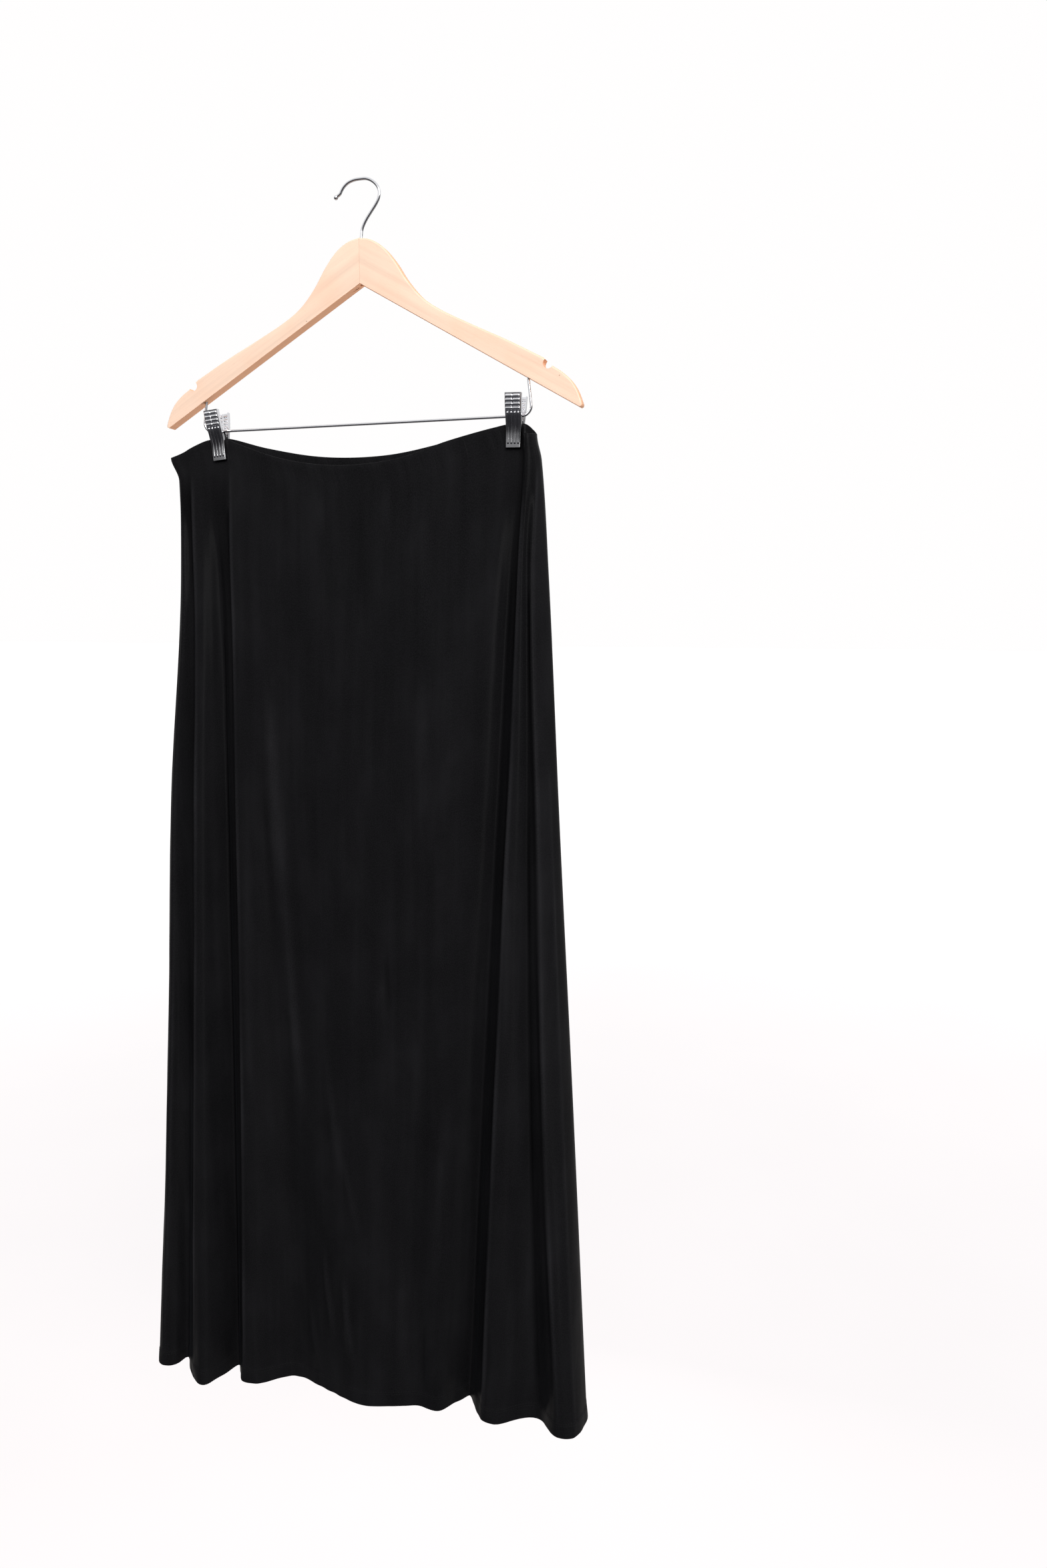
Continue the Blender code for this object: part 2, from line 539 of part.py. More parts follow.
def make_panel(name, surface, columns, shares, material):
    """A panel of the tube as a closed wall, its seam edges drawn back by half of the gap."""
    before, after = np.roll(surface, 1, axis=0), np.roll(surface, -1, axis=0)
    along = after - before
    along /= np.linalg.norm(along, axis=2, keepdims=True)
    down = np.gradient(surface, axis=1)
    normals = np.cross(along, down)
    normals /= np.linalg.norm(normals, axis=2, keepdims=True)
    wall = thickness_at(shares)[None, :, None]
    picked = surface[columns].copy()
    picked[0] += along[columns[0]] * GAP / 2
    picked[-1] -= along[columns[-1]] * GAP / 2
    sides = [picked - normals[columns] * wall / 2, picked + normals[columns] * wall / 2]
    maker = bmesh.new()
    grids = [[[maker.verts.new(Vector(point)) for point in column] for column in side] for side in sides]
    wide, tall = len(columns), len(shares)
    for grid in grids:
        for column in range(wide - 1):
            for row in range(tall - 1):
                maker.faces.new((
                    grid[column][row], grid[column + 1][row], grid[column + 1][row + 1], grid[column][row + 1],
                ))
    rim = [(column, 0) for column in range(wide)] + [(wide - 1, row) for row in range(1, tall)]
    rim += [(column, tall - 1) for column in range(wide - 2, -1, -1)] + [(0, row) for row in range(tall - 2, 0, -1)]
    for (column, row), (next_column, next_row) in zip(rim, rim[1:] + rim[:1]):
        maker.faces.new((
            grids[0][column][row], grids[0][next_column][next_row],
            grids[1][next_column][next_row], grids[1][column][row],
        ))
    return add_object(name, maker, material, math.radians(60))


def make_skirt(cloth):
    """The front and the back panel, parted at the two side seams."""
    surface, split, shares = skirt_surface(SPAN_STEPS)
    total = len(surface)
    make_panel("skirt_front", surface, np.arange(0, split + 1), shares, cloth)
    make_panel("skirt_back", surface, np.arange(split, total + 1) % total, shares, cloth)


def main():
    clear_scene()
    wood = make_material("pale lacquered wood", (0.80, 0.56, 0.36), 0.38)
    chrome = make_material("chromed steel", (0.78, 0.78, 0.80), 0.18, 1.0)
    rubber = make_material("black rubber", (0.02, 0.02, 0.02), 0.75)
    cloth = make_material("black stretch knit", (0.012, 0.012, 0.014), 0.62)
    make_hook(chrome)
    left_arm = make_arm("hanger_arm_left", -1, wood)
    cut_spline_slot(left_arm, wood)
    make_arm("hanger_arm_right", 1, wood)
    make_bar(chrome)
    for clip in CLIPS:
        make_clip(clip, chrome, rubber)
    make_skirt(cloth)


main()
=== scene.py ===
"""The looks of a black maxi skirt that hangs from a wooden clip hanger.

Metres, +Z up, -Y is the front. The origin is where the hook rests on what holds it up.
Each operator builds one group of pieces on the frame's own places.
Each piece rides on the frame's one body.
"""

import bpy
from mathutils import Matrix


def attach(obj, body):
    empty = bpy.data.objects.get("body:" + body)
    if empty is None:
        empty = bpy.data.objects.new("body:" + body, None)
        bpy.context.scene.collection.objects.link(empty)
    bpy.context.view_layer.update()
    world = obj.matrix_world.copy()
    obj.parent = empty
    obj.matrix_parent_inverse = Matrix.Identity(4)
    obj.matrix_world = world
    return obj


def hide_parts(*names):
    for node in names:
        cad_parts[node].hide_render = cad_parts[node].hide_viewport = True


bl_info = {
    "name": "Maxi skirt on a clip hanger",
    "version": (1, 0, 0),
    "blender": (4, 5, 0),
    "location": "3D View > Sidebar > Skirt",
    "description": "Builds the skirt's cloth, hem stitches, hanger, hook, bar, clips and studio",
    "category": "Object",
}

import math

import bmesh
import bpy
import numpy as np
from bpy.props import FloatProperty, FloatVectorProperty, PointerProperty
from mathutils import Matrix, Vector, noise

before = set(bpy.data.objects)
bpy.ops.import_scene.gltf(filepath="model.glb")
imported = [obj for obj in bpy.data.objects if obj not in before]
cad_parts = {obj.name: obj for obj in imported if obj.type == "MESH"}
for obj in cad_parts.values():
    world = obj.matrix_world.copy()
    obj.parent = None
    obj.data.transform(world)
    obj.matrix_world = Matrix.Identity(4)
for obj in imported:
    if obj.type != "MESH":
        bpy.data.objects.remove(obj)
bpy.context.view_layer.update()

MM = 0.001
BODY = "root"

# Places that the frame's solids have too
WOOD_APEX = -94.8 * MM
WOOD_TIP = (222.5 * MM, -219.6 * MM)
NOTCH_CENTRE = (189.2 * MM, -180.2 * MM)
NOTCH_RADIUS = 4.9 * MM
STEM_BOTTOM = -88.0 * MM
BAR_CENTRE_X = -4.3 * MM
BAR_HEIGHT = -225.5 * MM
BAR_HALF_AT_WOOD = 173.1 * MM
BAR_HALF_AT_BEND = 176.0 * MM
BAR_BEND_RADIUS = 9.0 * MM
BAR_SOCKET_DEPTH = 9.0 * MM
CLIPS = (
    {"name": "left", "x": -164.4 * MM, "lean": math.radians(-5.1)},
    {"name": "right", "x": 156.1 * MM, "lean": math.radians(1.9)},
)
HIP_HEIGHT = -370.0 * MM
THIGH_HEIGHT = -620.0 * MM
KNEE_HEIGHT = -950.0 * MM
HEM_HEIGHT = -1318.0 * MM
HEM_TILT = 0.0315

# One row for each line down the cloth, from the left side seam round the front, in millimetres: its place
# (x, y) at the waist edge, that edge's height, and its place at the casing, hip, thigh, knee and hem.
FOLD_COLUMNS = ("name", "waist", "edge", "casing", "hip", "thigh", "knee", "hem")
FRONT_FOLDS = (
    ("left seam", (-221.8, 0), -249.5, (-213.5, 0.5), (-218.6, 3), (-247, 6), (-271, 9), (-305, 8)),
    ("left edge", (-217, -3.4), -249.2, (-209.5, -3.4), (-212, -3), (-239, -1), (-263, 0), (-295, -1)),
    ("left flat", (-210, -3.2), -247.0, (-205.5, -3.4), (-207, -3), (-230, 0), (-255, 6), (-280, 5)),
    ("side valley", (-204, -2.6), -244.5, (-201.5, -2.6), (-202.5, -2.5), (-221, -1), (-244, 9), (-273, 20)),
    ("side ridge", (-198, -2.4), -241.5, (-197, -3.4), (-197.5, -4.5), (-208, -7), (-225, -9), (-245, -11)),
    ("side ridge crown", (-188, -2.2), -237.5, (-189, -3.2), (-190, -4.5), (-200, -8),
     (-213, -12), (-226, -18)),
    ("clip valley rim", (-179, -1.8), -234.5, (-180, -1.8), (-182, 0), (-192, 2), (-202, 5), (-213, 2)),
    ("clip valley", (-173, -1.5), -233.5, (-173, -1.5), (-173, 6), (-180, 12), (-191, 18), (-203, 22)),
    ("left clip middle", (-163, -1.5), -233.5, (-163, -1.5), (-163, 0), (-169, 3), (-179, 6.5), (-193, 10.5)),
    ("panel ridge", (-153, -1.5), -234.5, (-153, -1.5), (-153, -6), (-158, -6), (-167, -5), (-183, -1)),
    ("panel shoulder", (-141, -4), -239.0, (-141, -5.5), (-141, -8), (-144, -9), (-151, -6), (-166, -2)),
    ("soft valley", (-98, -9), -254.0, (-98, -9), (-100, -9), (-106, -7), (-112, 4), (-124, 22)),
    ("soft valley rim", (-62, -11), -262.0, (-62, -11), (-64, -11), (-68, -9), (-72, -3), (-76, 9)),
    ("panel middle", (-20, -12), -266.0, (-20, -12), (-20, -12), (-20, -10), (-20, -8), (-22, -4)),
    ("second dip", (38, -11), -261.5, (38, -11), (38, -11), (38, -7), (38, 0), (38, 10)),
    ("second rise", (92, -6), -245.5, (92, -6.5), (90, -8), (84, -6), (75, 0), (62, 7)),
    ("right clip inner", (146, -1.5), -233.5, (146, -1.5), (139, -3), (122, 2), (99, 11), (77, 25)),
    ("right clip middle", (155.5, -1.5), -233.5, (155.5, -1.5), (145.5, 0.5), (128, 6),
     (105.5, 17.5), (83.5, 33)),
    ("right valley", (164.3, -1.7), -234.0, (164.3, -1.7), (151, 3), (134, 10), (112, 24), (90, 41)),
    ("big fold edge", (167.2, -7.5), -240.5, (167, -8), (162.5, -8.5), (151, -9), (134, -4), (115, 7)),
    ("big fold face", (169.5, -12.4), -243.0, (170, -12), (166, -10.5), (160, -10), (149, -5), (131, 5)),
    ("big fold dip", (173, -11.5), -244.0, (175, -10.5), (170.5, -8), (170, -5), (171, 7), (176, 24)),
    ("inner ridge", (175.4, -7), -243.0, (178, -6), (174.5, -8), (181, -8), (189, -5), (205, 2)),
    ("right corner", (176.6, -1.5), -242.5, (180.5, 0), (182.5, 1), (192, 1), (206, 3), (222, 6)),
)
BACK_FOLDS = (
    ("right seam", (175.4, 4), -241.5, (180, 6), (186, 12), (197, 20), (213, 30), (229, 42)),
    ("back corner", (171.4, 7.2), -237.0, (174.5, 10), (178, 18), (188, 29), (202, 42), (214, 54)),
    ("right clip outer", (165.2, 1.7), -232.5, (165, 1.8), (163, 12), (166, 25), (173, 39), (184, 52)),
    ("right clip back", (155.5, 1.5), -232.5, (155.5, 1.5), (150, 10.5), (150, 22.5),
     (155, 37.5), (163, 52.5)),
    ("right clip back inner", (146, 1.5), -232.5, (146, 1.5), (139, 9), (138, 21), (140, 38), (146, 55)),
    ("back fold one", (90, 6), -244.0, (90, 7), (86, 11), (82, 22), (80, 35), (76, 52)),
    ("back dip", (20, 10), -254.5, (20, 10), (20, 12), (18, 18), (14, 27), (8, 38)),
    ("back fold two", (-50, 9), -254.0, (-50, 9.5), (-50, 13), (-52, 20), (-56, 32), (-62, 48)),
    ("back dip two", (-112, 6), -243.5, (-112, 6), (-112, 10), (-116, 17), (-122, 26), (-130, 36)),
    ("left clip back inner", (-153, 1.5), -233.0, (-153, 1.5), (-154, 11), (-162, 21),
     (-172, 31), (-184, 46)),
    ("left clip back", (-163, 1.5), -233.0, (-163, 1.5), (-166, 11), (-175, 20.5), (-187.5, 30), (-204, 42)),
    ("left clip outer", (-173, 1.5), -233.0, (-173, 1.5), (-178, 11), (-188, 20), (-203, 29), (-224, 38)),
    ("back left fold", (-203, 3), -243.5, (-198, 4), (-202, 9), (-222, 16), (-242, 25), (-268, 39)),
    ("back left end", (-217, 3.6), -249.0, (-209, 4.6), (-213, 8.5), (-239, 12), (-262, 17), (-294, 24)),
)

# Creases given on the panels, in millimetres: the top's and the foot's place (x, z), the half width
# and the height, which is below nought for a trough.
CREASE_COLUMNS = ("top", "foot", "width", "height")
FRONT_CREASES = (
    ((-118, -470), (-104, -760), 8.0, 2.3),
    ((-104, -700), (-95, -1010), 6.8, 2.6),
    ((-126, -560), (-118, -820), 5.1, -0.9),
    ((-60, -880), (-48, -1050), 5.1, 1.4),
    ((-72, -1130), (-66, -1260), 3.8, 2.1),
    ((-48, -1150), (-38, -1285), 3.8, 2.3),
    ((-40, -1010), (-30, -1110), 4.2, 1.2),
    ((-3, -300), (-6, -420), 7.6, -0.7),
    ((-46, -285), (-50, -340), 4.2, 0.8),
    ((28, -280), (24, -350), 4.2, 0.8),
    ((64, -300), (66, -460), 6.8, 0.9),
    ((60, -470), (56, -660), 7.6, 1.1),
    ((92, -420), (80, -640), 6.8, 0.9),
    ((44, -860), (40, -1000), 5.1, 1.2),
    ((16, -760), (13, -850), 4.0, -1.2),
    ((8, -800), (3, -840), 4.2, 0.9),
    ((70, -960), (62, -1180), 6.0, 1.2),
    ((20, -1120), (22, -1290), 5.1, 1.2),
    ((46, -1200), (44, -1300), 3.4, -1.1),
    ((-150, -640), (-156, -980), 5.1, 0.9),
    ((-205, -520), (-216, -820), 3.4, 0.8),
    ((-232, -900), (-240, -1240), 3.4, 0.9),
    ((-262, -820), (-276, -1180), 3.8, 0.9),
    ((150, -620), (143, -900), 3.4, 0.8),
    ((160, -760), (158, -1080), 3.8, 0.9),
    ((150, -1120), (144, -1290), 4.2, 1.4),
    ((164, -1060), (168, -1250), 3.4, 1.4),
    ((200, -980), (206, -1260), 3.4, 0.8),
    ((125, -1180), (118, -1300), 3.0, -0.8),
    ((-98, -1210), (-88, -1300), 4.2, 1.2),
)
BACK_CREASES = (
    ((120, -330), (112, -640), 6.0, 1.2),
    ((60, -290), (66, -480), 6.8, 0.9),
    ((52, -620), (44, -980), 6.8, 1.8),
    ((-20, -420), (-16, -700), 6.8, 1.1),
    ((-8, -860), (-18, -1160), 6.0, 1.9),
    ((-84, -560), (-92, -900), 6.0, 1.4),
    ((-100, -1040), (-112, -1290), 5.1, 1.8),
    ((-142, -700), (-150, -1020), 5.1, 1.1),
    ((-190, -640), (-204, -980), 5.1, 1.2),
    ((-236, -880), (-250, -1240), 4.2, 1.4),
    ((112, -980), (106, -1290), 5.1, 1.5),
    ((176, -760), (186, -1100), 4.2, 1.1),
    ((30, -1170), (28, -1300), 4.2, 1.5),
    ((-50, -1190), (-46, -1300), 3.4, -1.2),
)

# Crisp ridges along the folds' own lines: the fold, the heights of the ridge's top and foot, its half
# width and height, and how far to the left a sharp trough lies and how deep it is, in millimetres.
FRONT_RIDGES = (
    ("side ridge", -262, -1310, 3.1, 1.6, 8.0, 3.5),
    ("panel ridge", -250, -1330, 2.5, 1.6, 9.0, 5.0),
    ("left edge", -300, -1330, 2.7, 0.9, 6.0, 0.0),
    ("clip valley", -420, -1300, 3.1, -1.4, 6.0, 0.0),
    ("big fold edge", -262, -1330, 2.5, 1.8, 7.0, 2.3),
    ("inner ridge", -262, -1320, 2.5, 1.4, 6.0, 1.5),
    ("big fold dip", -380, -1300, 3.6, -1.3, 6.0, 0.0),
    ("right corner", -560, -1318, 2.2, 1.1, 6.0, 0.0),
)
BACK_RIDGES = (
    ("back corner", -300, -1300, 2.7, 1.1, 6.0, 1.0),
    ("back fold one", -300, -1320, 3.6, 1.4, 9.0, 1.5),
    ("back fold two", -320, -1320, 4.0, 1.6, 9.0, 1.5),
    ("left clip back", -300, -1310, 3.1, 1.4, 7.0, 1.5),
    ("back left fold", -330, -1320, 3.1, 1.4, 7.0, 1.5),
)

PUCKER_DEPTH = 60 * MM  # how far the tiny gathers reach below the waist edge
HEM_STEP = 0.25 * MM  # how far the turned hem stands proud
CALM_HEIGHT = -275.0 * MM  # no crease stands above this, where the clips hold the cloth
PLAIN_WALL = 1.2 * MM
WAIST_RIM = 1.8 * MM
LEAST_COLUMNS = 4  # the least columns of cloth between two fold lines
RIDGE_COLUMNS = 10  # and beside a crisp ridge
CREASE_PAINTED_LIGHT = 0.22  # painted highlight: how much lighter the cloth is painted on a crease, for each millimetre of its height; a trough is painted darker
RIDGE_PAINTED_HIGHLIGHT = 0.80  # painted highlight: how much lighter a ridge's crest is painted
RIDGE_PAINTED_SHEEN = 0.10  # and the painted sheen on the cloth to the right of it
RIDGE_PAINTED_SHADE = 0.50  # painted shade: how much darker the cloth is painted to the left of a ridge
HEM_RIM = 1.9 * MM
WAIST_DROP = 250.0 * MM  # about how far the waist edge hangs below the origin
ROWS_AT_WAIST = 9
ROWS_AT_HEM = 10
ROW_MARGIN = 3 * MM  # how far these close rows go past the turning's edge
HEM_SOFTNESS = 0.8 * MM
WAIST_FADE = (14 * MM, 1 * MM)  # between these depths the wall grows to the waist's rim
SEAM_SINK = 0.45 * MM  # how far the side seams pull the cloth in
SEAM_REACH = 3.0 * MM
SEAM_CALM = 2.0 * MM
CALM_FADE = 40 * MM
PAINTED_LIGHT_HEIGHTS = (CALM_HEIGHT + 20 * MM, CALM_HEIGHT - 5 * MM)  # between these the light and shade painted on the cloth comes in
PAINTED_HIGHLIGHT_SHIFT = 1.5  # how far to the right of its crest a fold's painted highlight lies, in millimetres
CREASE_SWAY = 1.5  # how far a crease wanders to the sides, in millimetres
CREASE_TURNS = 5.0
CREASE_START = (-0.05, 0.35)  # shares of a crease's length, between which it rises
CREASE_END = (1.05, 0.60)
RIDGE_END = (1.02, 0.93)
RIDGE_START = (0.0, 0.08)
# shares of a ridge's length, between which its painted light and shade come in
PAINTED_LIGHT_START = (0.0, 0.03)
RIDGE_FULL_HIGHLIGHT = 1.5  # the height of a ridge whose painted highlight is full, in millimetres
TROUGH_FULL_SHADE = 3.0  # and the depth of a trough whose painted shade is full
RIDGE_RIPPLE = 23.0  # how fast a ridge's strength comes and goes down the cloth, in radians a metre
TROUGH_SHARE = 0.70  # a trough's half width as a share of how far it lies from its ridge
PAINTED_SHADE_SHARE = 3.2  # how far the painted shade on the dark side of a ridge reaches, as a multiple of the same distance
PAINTED_SHEEN_REACH = 12  # how far the painted sheen on the light side of a ridge reaches, in millimetres
RIM_STEPS = 6  # steps round the turned edges

# Waves of the cloth: height, how many a metre across and down, and where in the noise they are taken from.
SLOW_WAVES = ((0.35 * MM, 38, 7, 1.7), (0.16 * MM, 95, 26, 8.3))
HEM_WAVES = ((1.6 * MM, 34, 9, 4.1), (0.8 * MM, 88, 48, 6.2))
HEM_WAVE_REACH = 75 * MM

JAW_PAINTED_DARK_REACH = 6.0 * MM  # over which the painted dark reflection comes in on the jaws below the bar
JAW_ROWS = 46
JAW_BENDS = ((12.2, 19.5), (11.4, 12.0), (9.4, 2.5), (7.3, -5.0), (5.8, -12.0), (5.3, -20.0), (5.3, -29.5))
JAW_CORNER = 1.1 * MM
JAW_CLEAR = 2.9 * MM  # the jaws keep this far from the clip's middle
GRIP_ROWS = 4
GRIP_TOP = 16.4 * MM  # height of the topmost finger bar over the clip's middle
GRIP_PITCH = 3.7 * MM
RIB_TOP = 2.9 * MM
RIB_FOOT = -26.6 * MM
RIB_ROWS = 34
RIB_HALF_WIDTH = 1.2 * MM
RIB_ENDING = 1.3 * MM  # over which a rib's ends are rounded
RIB_KNOB = 3.4 * MM  # over which it stands higher at its top
SPRING_SHEET = 0.8 * MM
SPRING_HALF_WIDTH = 4.0 * MM
SPRING_EDGE = 0.22 * MM
SPRING_PLAY = 0.3 * MM
BAR_WIRE_RADIUS = 1.3 * MM
PAD_SIZE = (12.4 * MM, 1.6 * MM, 23.3 * MM)
PAD_PLACE = (0.0, 3.68 * MM, -16.85 * MM)
PAD_ROUNDING = 0.45 * MM
SPRING_STEPS = 60
SPRING_START = -25
SPRING_SWEEP = 230

# The hook and the arms as seen from the front, in millimetres: x and z.
HOOK_CROOK = (
    (-24.0, -11.9), (-21.4, -10.2), (-19.7, -7.4), (-17.0, -4.0), (-12.5, -0.8), (-6.5, 1.0), (0.0, 1.4),
    (6.5, 1.0), (12.2, -1.4), (17.0, -5.6), (19.5, -10.8), (19.2, -16.6), (16.0, -22.6), (10.6, -29.4),
    (5.2, -36.4), (1.4, -43.4), (0.0, -51.0),
)
ARM_SHOULDER = (
    (0.0, -53.0), (12.5, -56.0), (25.0, -64.0), (37.0, -77.8), (49.0, -95.6), (64.5, -112.6),
    (83.5, -125.2), (114.0, -140.2), (150.0, -157.0), (184.0, -174.4),
)
ARM_NOSE = ((194.4, -183.3), (203.0, -188.8), (211.5, -196.4), (217.5, -205.4), (221.4, -214.6))
BALL_STEPS = 14
HOLE_PLAY = 0.25 * MM  # how much wider the holes in the wood are than their wires, at each side
STEM_HOLE_MIDDLE = -75.0 * MM
STEM_HOLE_LENGTH = 60.0 * MM
BAR_HOLE_LENGTH = 30.0 * MM
KNOTS = {-1: (-58.0 * MM, -5.65 * MM, -126.0 * MM), 1: (200.4 * MM, -5.65 * MM, -191.9 * MM)}

PORE_COLOUR = (0.55, 0.31, 0.17)
DRIFT_COLOUR = (0.90, 0.54, 0.37)
# painted shade for the wood's rims and underside
RIM_PAINTED_SHADE_COLOUR = (0.86, 0.41, 0.20)
KNOT_COLOUR = (0.22, 0.09, 0.04)
RUBBER_COLOURS = ((0.3, (0.010, 0.010, 0.011)), (0.7, (0.024, 0.024, 0.025)))
FLOOR_COLOURS = ((0.3, (0.135, 0.130, 0.130)), (0.7, (0.145, 0.140, 0.140)))
FLOOR_HALF_SIZE = 60.0

# The square soft lights: where each stands, what it points at, its width and its colour.
LAMPS = {
    "key light": ((2.1, -3.7, 1.9), (0.0, 0.0, -0.5), 2.1, (1.0, 0.99, 0.98)),
    "back light": ((0.0, 1.5, -1.0), (0.0, 0.0, -0.2), 1.3, (1.0, 0.93, 0.88)),
    "side light": ((2.3, -3.3, -0.2), (0.0, 0.0, -0.8), 1.2, (0.94, 0.97, 1.0)),
}


class SkirtSizes(bpy.types.PropertyGroup):
    """Sizes and colours of the cloth."""
    column_step: FloatProperty(name="Column width", description="Width of a column of the cloth's mesh",
                               default=2.8 * MM, unit="LENGTH", subtype="DISTANCE")
    row_step: FloatProperty(name="Row height", description="Height of a row of the cloth's mesh",
                            default=7.4 * MM, unit="LENGTH", subtype="DISTANCE")
    casing_depth: FloatProperty(name="Waist turning", description="Depth of the turned waist edge",
                                default=24.0 * MM, unit="LENGTH", subtype="DISTANCE")
    hem_depth: FloatProperty(name="Hem turning", description="Depth of the turned hem",
                             default=20.0 * MM, unit="LENGTH", subtype="DISTANCE")
    stitch_length: FloatProperty(name="Stitch", description="Length of a hem stitch",
                                 default=2.3 * MM, unit="LENGTH", subtype="DISTANCE")
    stitch_pitch: FloatProperty(name="Stitch spacing", description="From one hem stitch to the next",
                                default=2.9 * MM, unit="LENGTH", subtype="DISTANCE")
    needle_gap: FloatProperty(name="Needle gap", description="Between the two rows of the twin needle",
                              default=3.0 * MM, unit="LENGTH", subtype="DISTANCE")
    thread_radius: FloatProperty(name="Thread radius", description="Half the thickness of the thread",
                                 default=0.22 * MM, unit="LENGTH", subtype="DISTANCE")
    wale_pitch: FloatProperty(name="Wale spacing", description="From one column of knit stitches to the next",
                              default=0.8 * MM, unit="LENGTH", subtype="DISTANCE")
    knit_colour: FloatVectorProperty(name="Knit colour", description="Colour of the black knit",
                                     default=(0.0058, 0.0057, 0.0063), subtype="COLOR", size=3, min=0, max=1)


class HangerSizes(bpy.types.PropertyGroup):
    """Sizes and colours of the hanger."""
    wood_thickness: FloatProperty(name="Wood thickness", description="Thickness of the arms",
                                  default=11.3 * MM, unit="LENGTH", subtype="DISTANCE")
    top_rounding: FloatProperty(name="Top rounding", description="Radius of the arms' upper rims",
                                default=2.2 * MM, unit="LENGTH", subtype="DISTANCE")
    foot_rounding: FloatProperty(name="Underside rounding", description="Radius of the rims under the arms",
                                 default=0.7 * MM, unit="LENGTH", subtype="DISTANCE")
    hook_radius: FloatProperty(name="Hook wire radius", description="Half the thickness of the hook's wire",
                               default=1.4 * MM, unit="LENGTH", subtype="DISTANCE")
    ball_radius: FloatProperty(name="Hook ball radius", description="Radius of the ball at the hook's end",
                               default=2.1 * MM, unit="LENGTH", subtype="DISTANCE")
    bar_radius: FloatProperty(name="Bar wire radius", description="Half the thickness of the bar's wire",
                              default=BAR_WIRE_RADIUS, unit="LENGTH", subtype="DISTANCE")
    wood_colour: FloatVectorProperty(name="Wood colour", description="Colour of the pale wood",
                                     default=(0.870, 0.635, 0.490), subtype="COLOR", size=3, min=0, max=1)


class ClipSizes(bpy.types.PropertyGroup):
    """Sizes of the two clips."""
    sheet: FloatProperty(name="Jaw sheet", description="Thickness of the stamped jaws",
                         default=0.9 * MM, unit="LENGTH", subtype="DISTANCE")
    top_width: FloatProperty(name="Jaw width at the top", description="Width of a jaw at its top",
                             default=16.4 * MM, unit="LENGTH", subtype="DISTANCE")
    foot_width: FloatProperty(name="Jaw width at the foot", description="Width of a jaw at its foot",
                              default=14.8 * MM, unit="LENGTH", subtype="DISTANCE")
    flange: FloatProperty(name="Flange depth", description="Depth of the jaw's bent sides",
                          default=4.2 * MM, unit="LENGTH", subtype="DISTANCE")
    relief: FloatProperty(name="Relief", description="How far the bars and ribs stand out",
                          default=0.75 * MM, unit="LENGTH", subtype="DISTANCE")
    ring_radius: FloatProperty(name="Spring radius", description="Outer radius of the strip spring",
                               default=6.75 * MM, unit="LENGTH", subtype="DISTANCE")


class StudioSizes(bpy.types.PropertyGroup):
    """The camera, the floor and the light."""
    camera_place: FloatVectorProperty(name="Camera place", description="Where the camera stands",
                                      default=(0.445, -1.002, -0.4192), subtype="XYZ", size=3, unit="LENGTH")
    camera_turn: FloatProperty(name="Camera turn", description="How far the camera is turned to the left",
                               default=math.radians(15.62), subtype="ANGLE", unit="ROTATION")
    camera_pitch: FloatProperty(name="Camera pitch", description="How far the camera looks up",
                                default=math.radians(-8.86), subtype="ANGLE", unit="ROTATION")
    camera_roll: FloatProperty(name="Camera roll", description="How far the camera is tilted",
                               default=math.radians(0.13), subtype="ANGLE", unit="ROTATION")
    lens: FloatProperty(name="Lens", description="Focal length for a 36 mm long side, in millimetres",
                        default=24.0)
    floor_height: FloatProperty(name="Floor height", description="Height of the floor below the hook",
                                default=-1.95, unit="LENGTH", subtype="DISTANCE")
    key_power: FloatProperty(name="Key light", description="Strength of the big soft light",
                             default=216.0, min=0)
    fill_power: FloatProperty(name="Back light", description="Strength of the soft light behind",
                              default=26.0, min=0)
    side_power: FloatProperty(name="Side light", description="Strength of the low light at the right",
                              default=2.0, min=0)
    air_light: FloatProperty(name="Room light", description="Strength of the light from all round",
                             default=1.0, min=0)
    back_colour: FloatVectorProperty(name="Room behind", description="Light from behind the piece",
                                     default=(0.24, 0.235, 0.23), subtype="COLOR", size=3, min=0, max=1)
    front_colour: FloatVectorProperty(name="Room in front", description="Light from in front of the piece",
                                      default=(0.055, 0.055, 0.062), subtype="COLOR", size=3, min=0, max=1)
    ceiling_colour: FloatVectorProperty(name="Ceiling", description="Light from above",
                                        default=(0.97, 0.97, 0.98), subtype="COLOR", size=3, min=0, max=1)
    ground_colour: FloatVectorProperty(name="Ground", description="Light from below and behind",
                                       default=(0.58, 0.54, 0.515), subtype="COLOR", size=3, min=0, max=1)


def mesh_from(name, maker):
    """Makes a mesh from a bmesh and frees the bmesh."""
    mesh = bpy.data.meshes.new(name)
    maker.to_mesh(mesh)
    maker.free()
    return mesh


def loose(name, data):
    """An object in the scene from a mesh, a light or a camera as it is."""
    thing = bpy.data.objects.new(name, data)
    bpy.context.scene.collection.objects.link(thing)
    return thing


def skin(maker, rings):
    """Faces along a run of rings of vertices, with a cap at either end."""
    for first, second in zip(rings, rings[1:]):
        for corner in range(len(first)):
            after = (corner + 1) % len(first)
            maker.faces.new((first[corner], first[after], second[after], second[corner]))
    maker.faces.new(rings[0])
    maker.faces.new(rings[-1])


def mesh_object(name, mesh, material, smooth_below=None):
    """A shown object at the origin from a mesh with its place in it."""
    mesh.materials.clear()
    mesh.materials.append(material)
    mesh.shade_smooth()
    if smooth_below is not None:
        mesh.set_sharp_from_angle(angle=smooth_below)
    return loose(name, mesh)


def object_from(name, maker, material, smooth_below=math.radians(40)):
    """An object from a bmesh, its doubles merged and its faces turned outwards."""
    bmesh.ops.remove_doubles(maker, verts=maker.verts, dist=1e-6)
    bmesh.ops.recalc_face_normals(maker, faces=maker.faces)
    return mesh_object(name, mesh_from(name, maker), material, smooth_below)


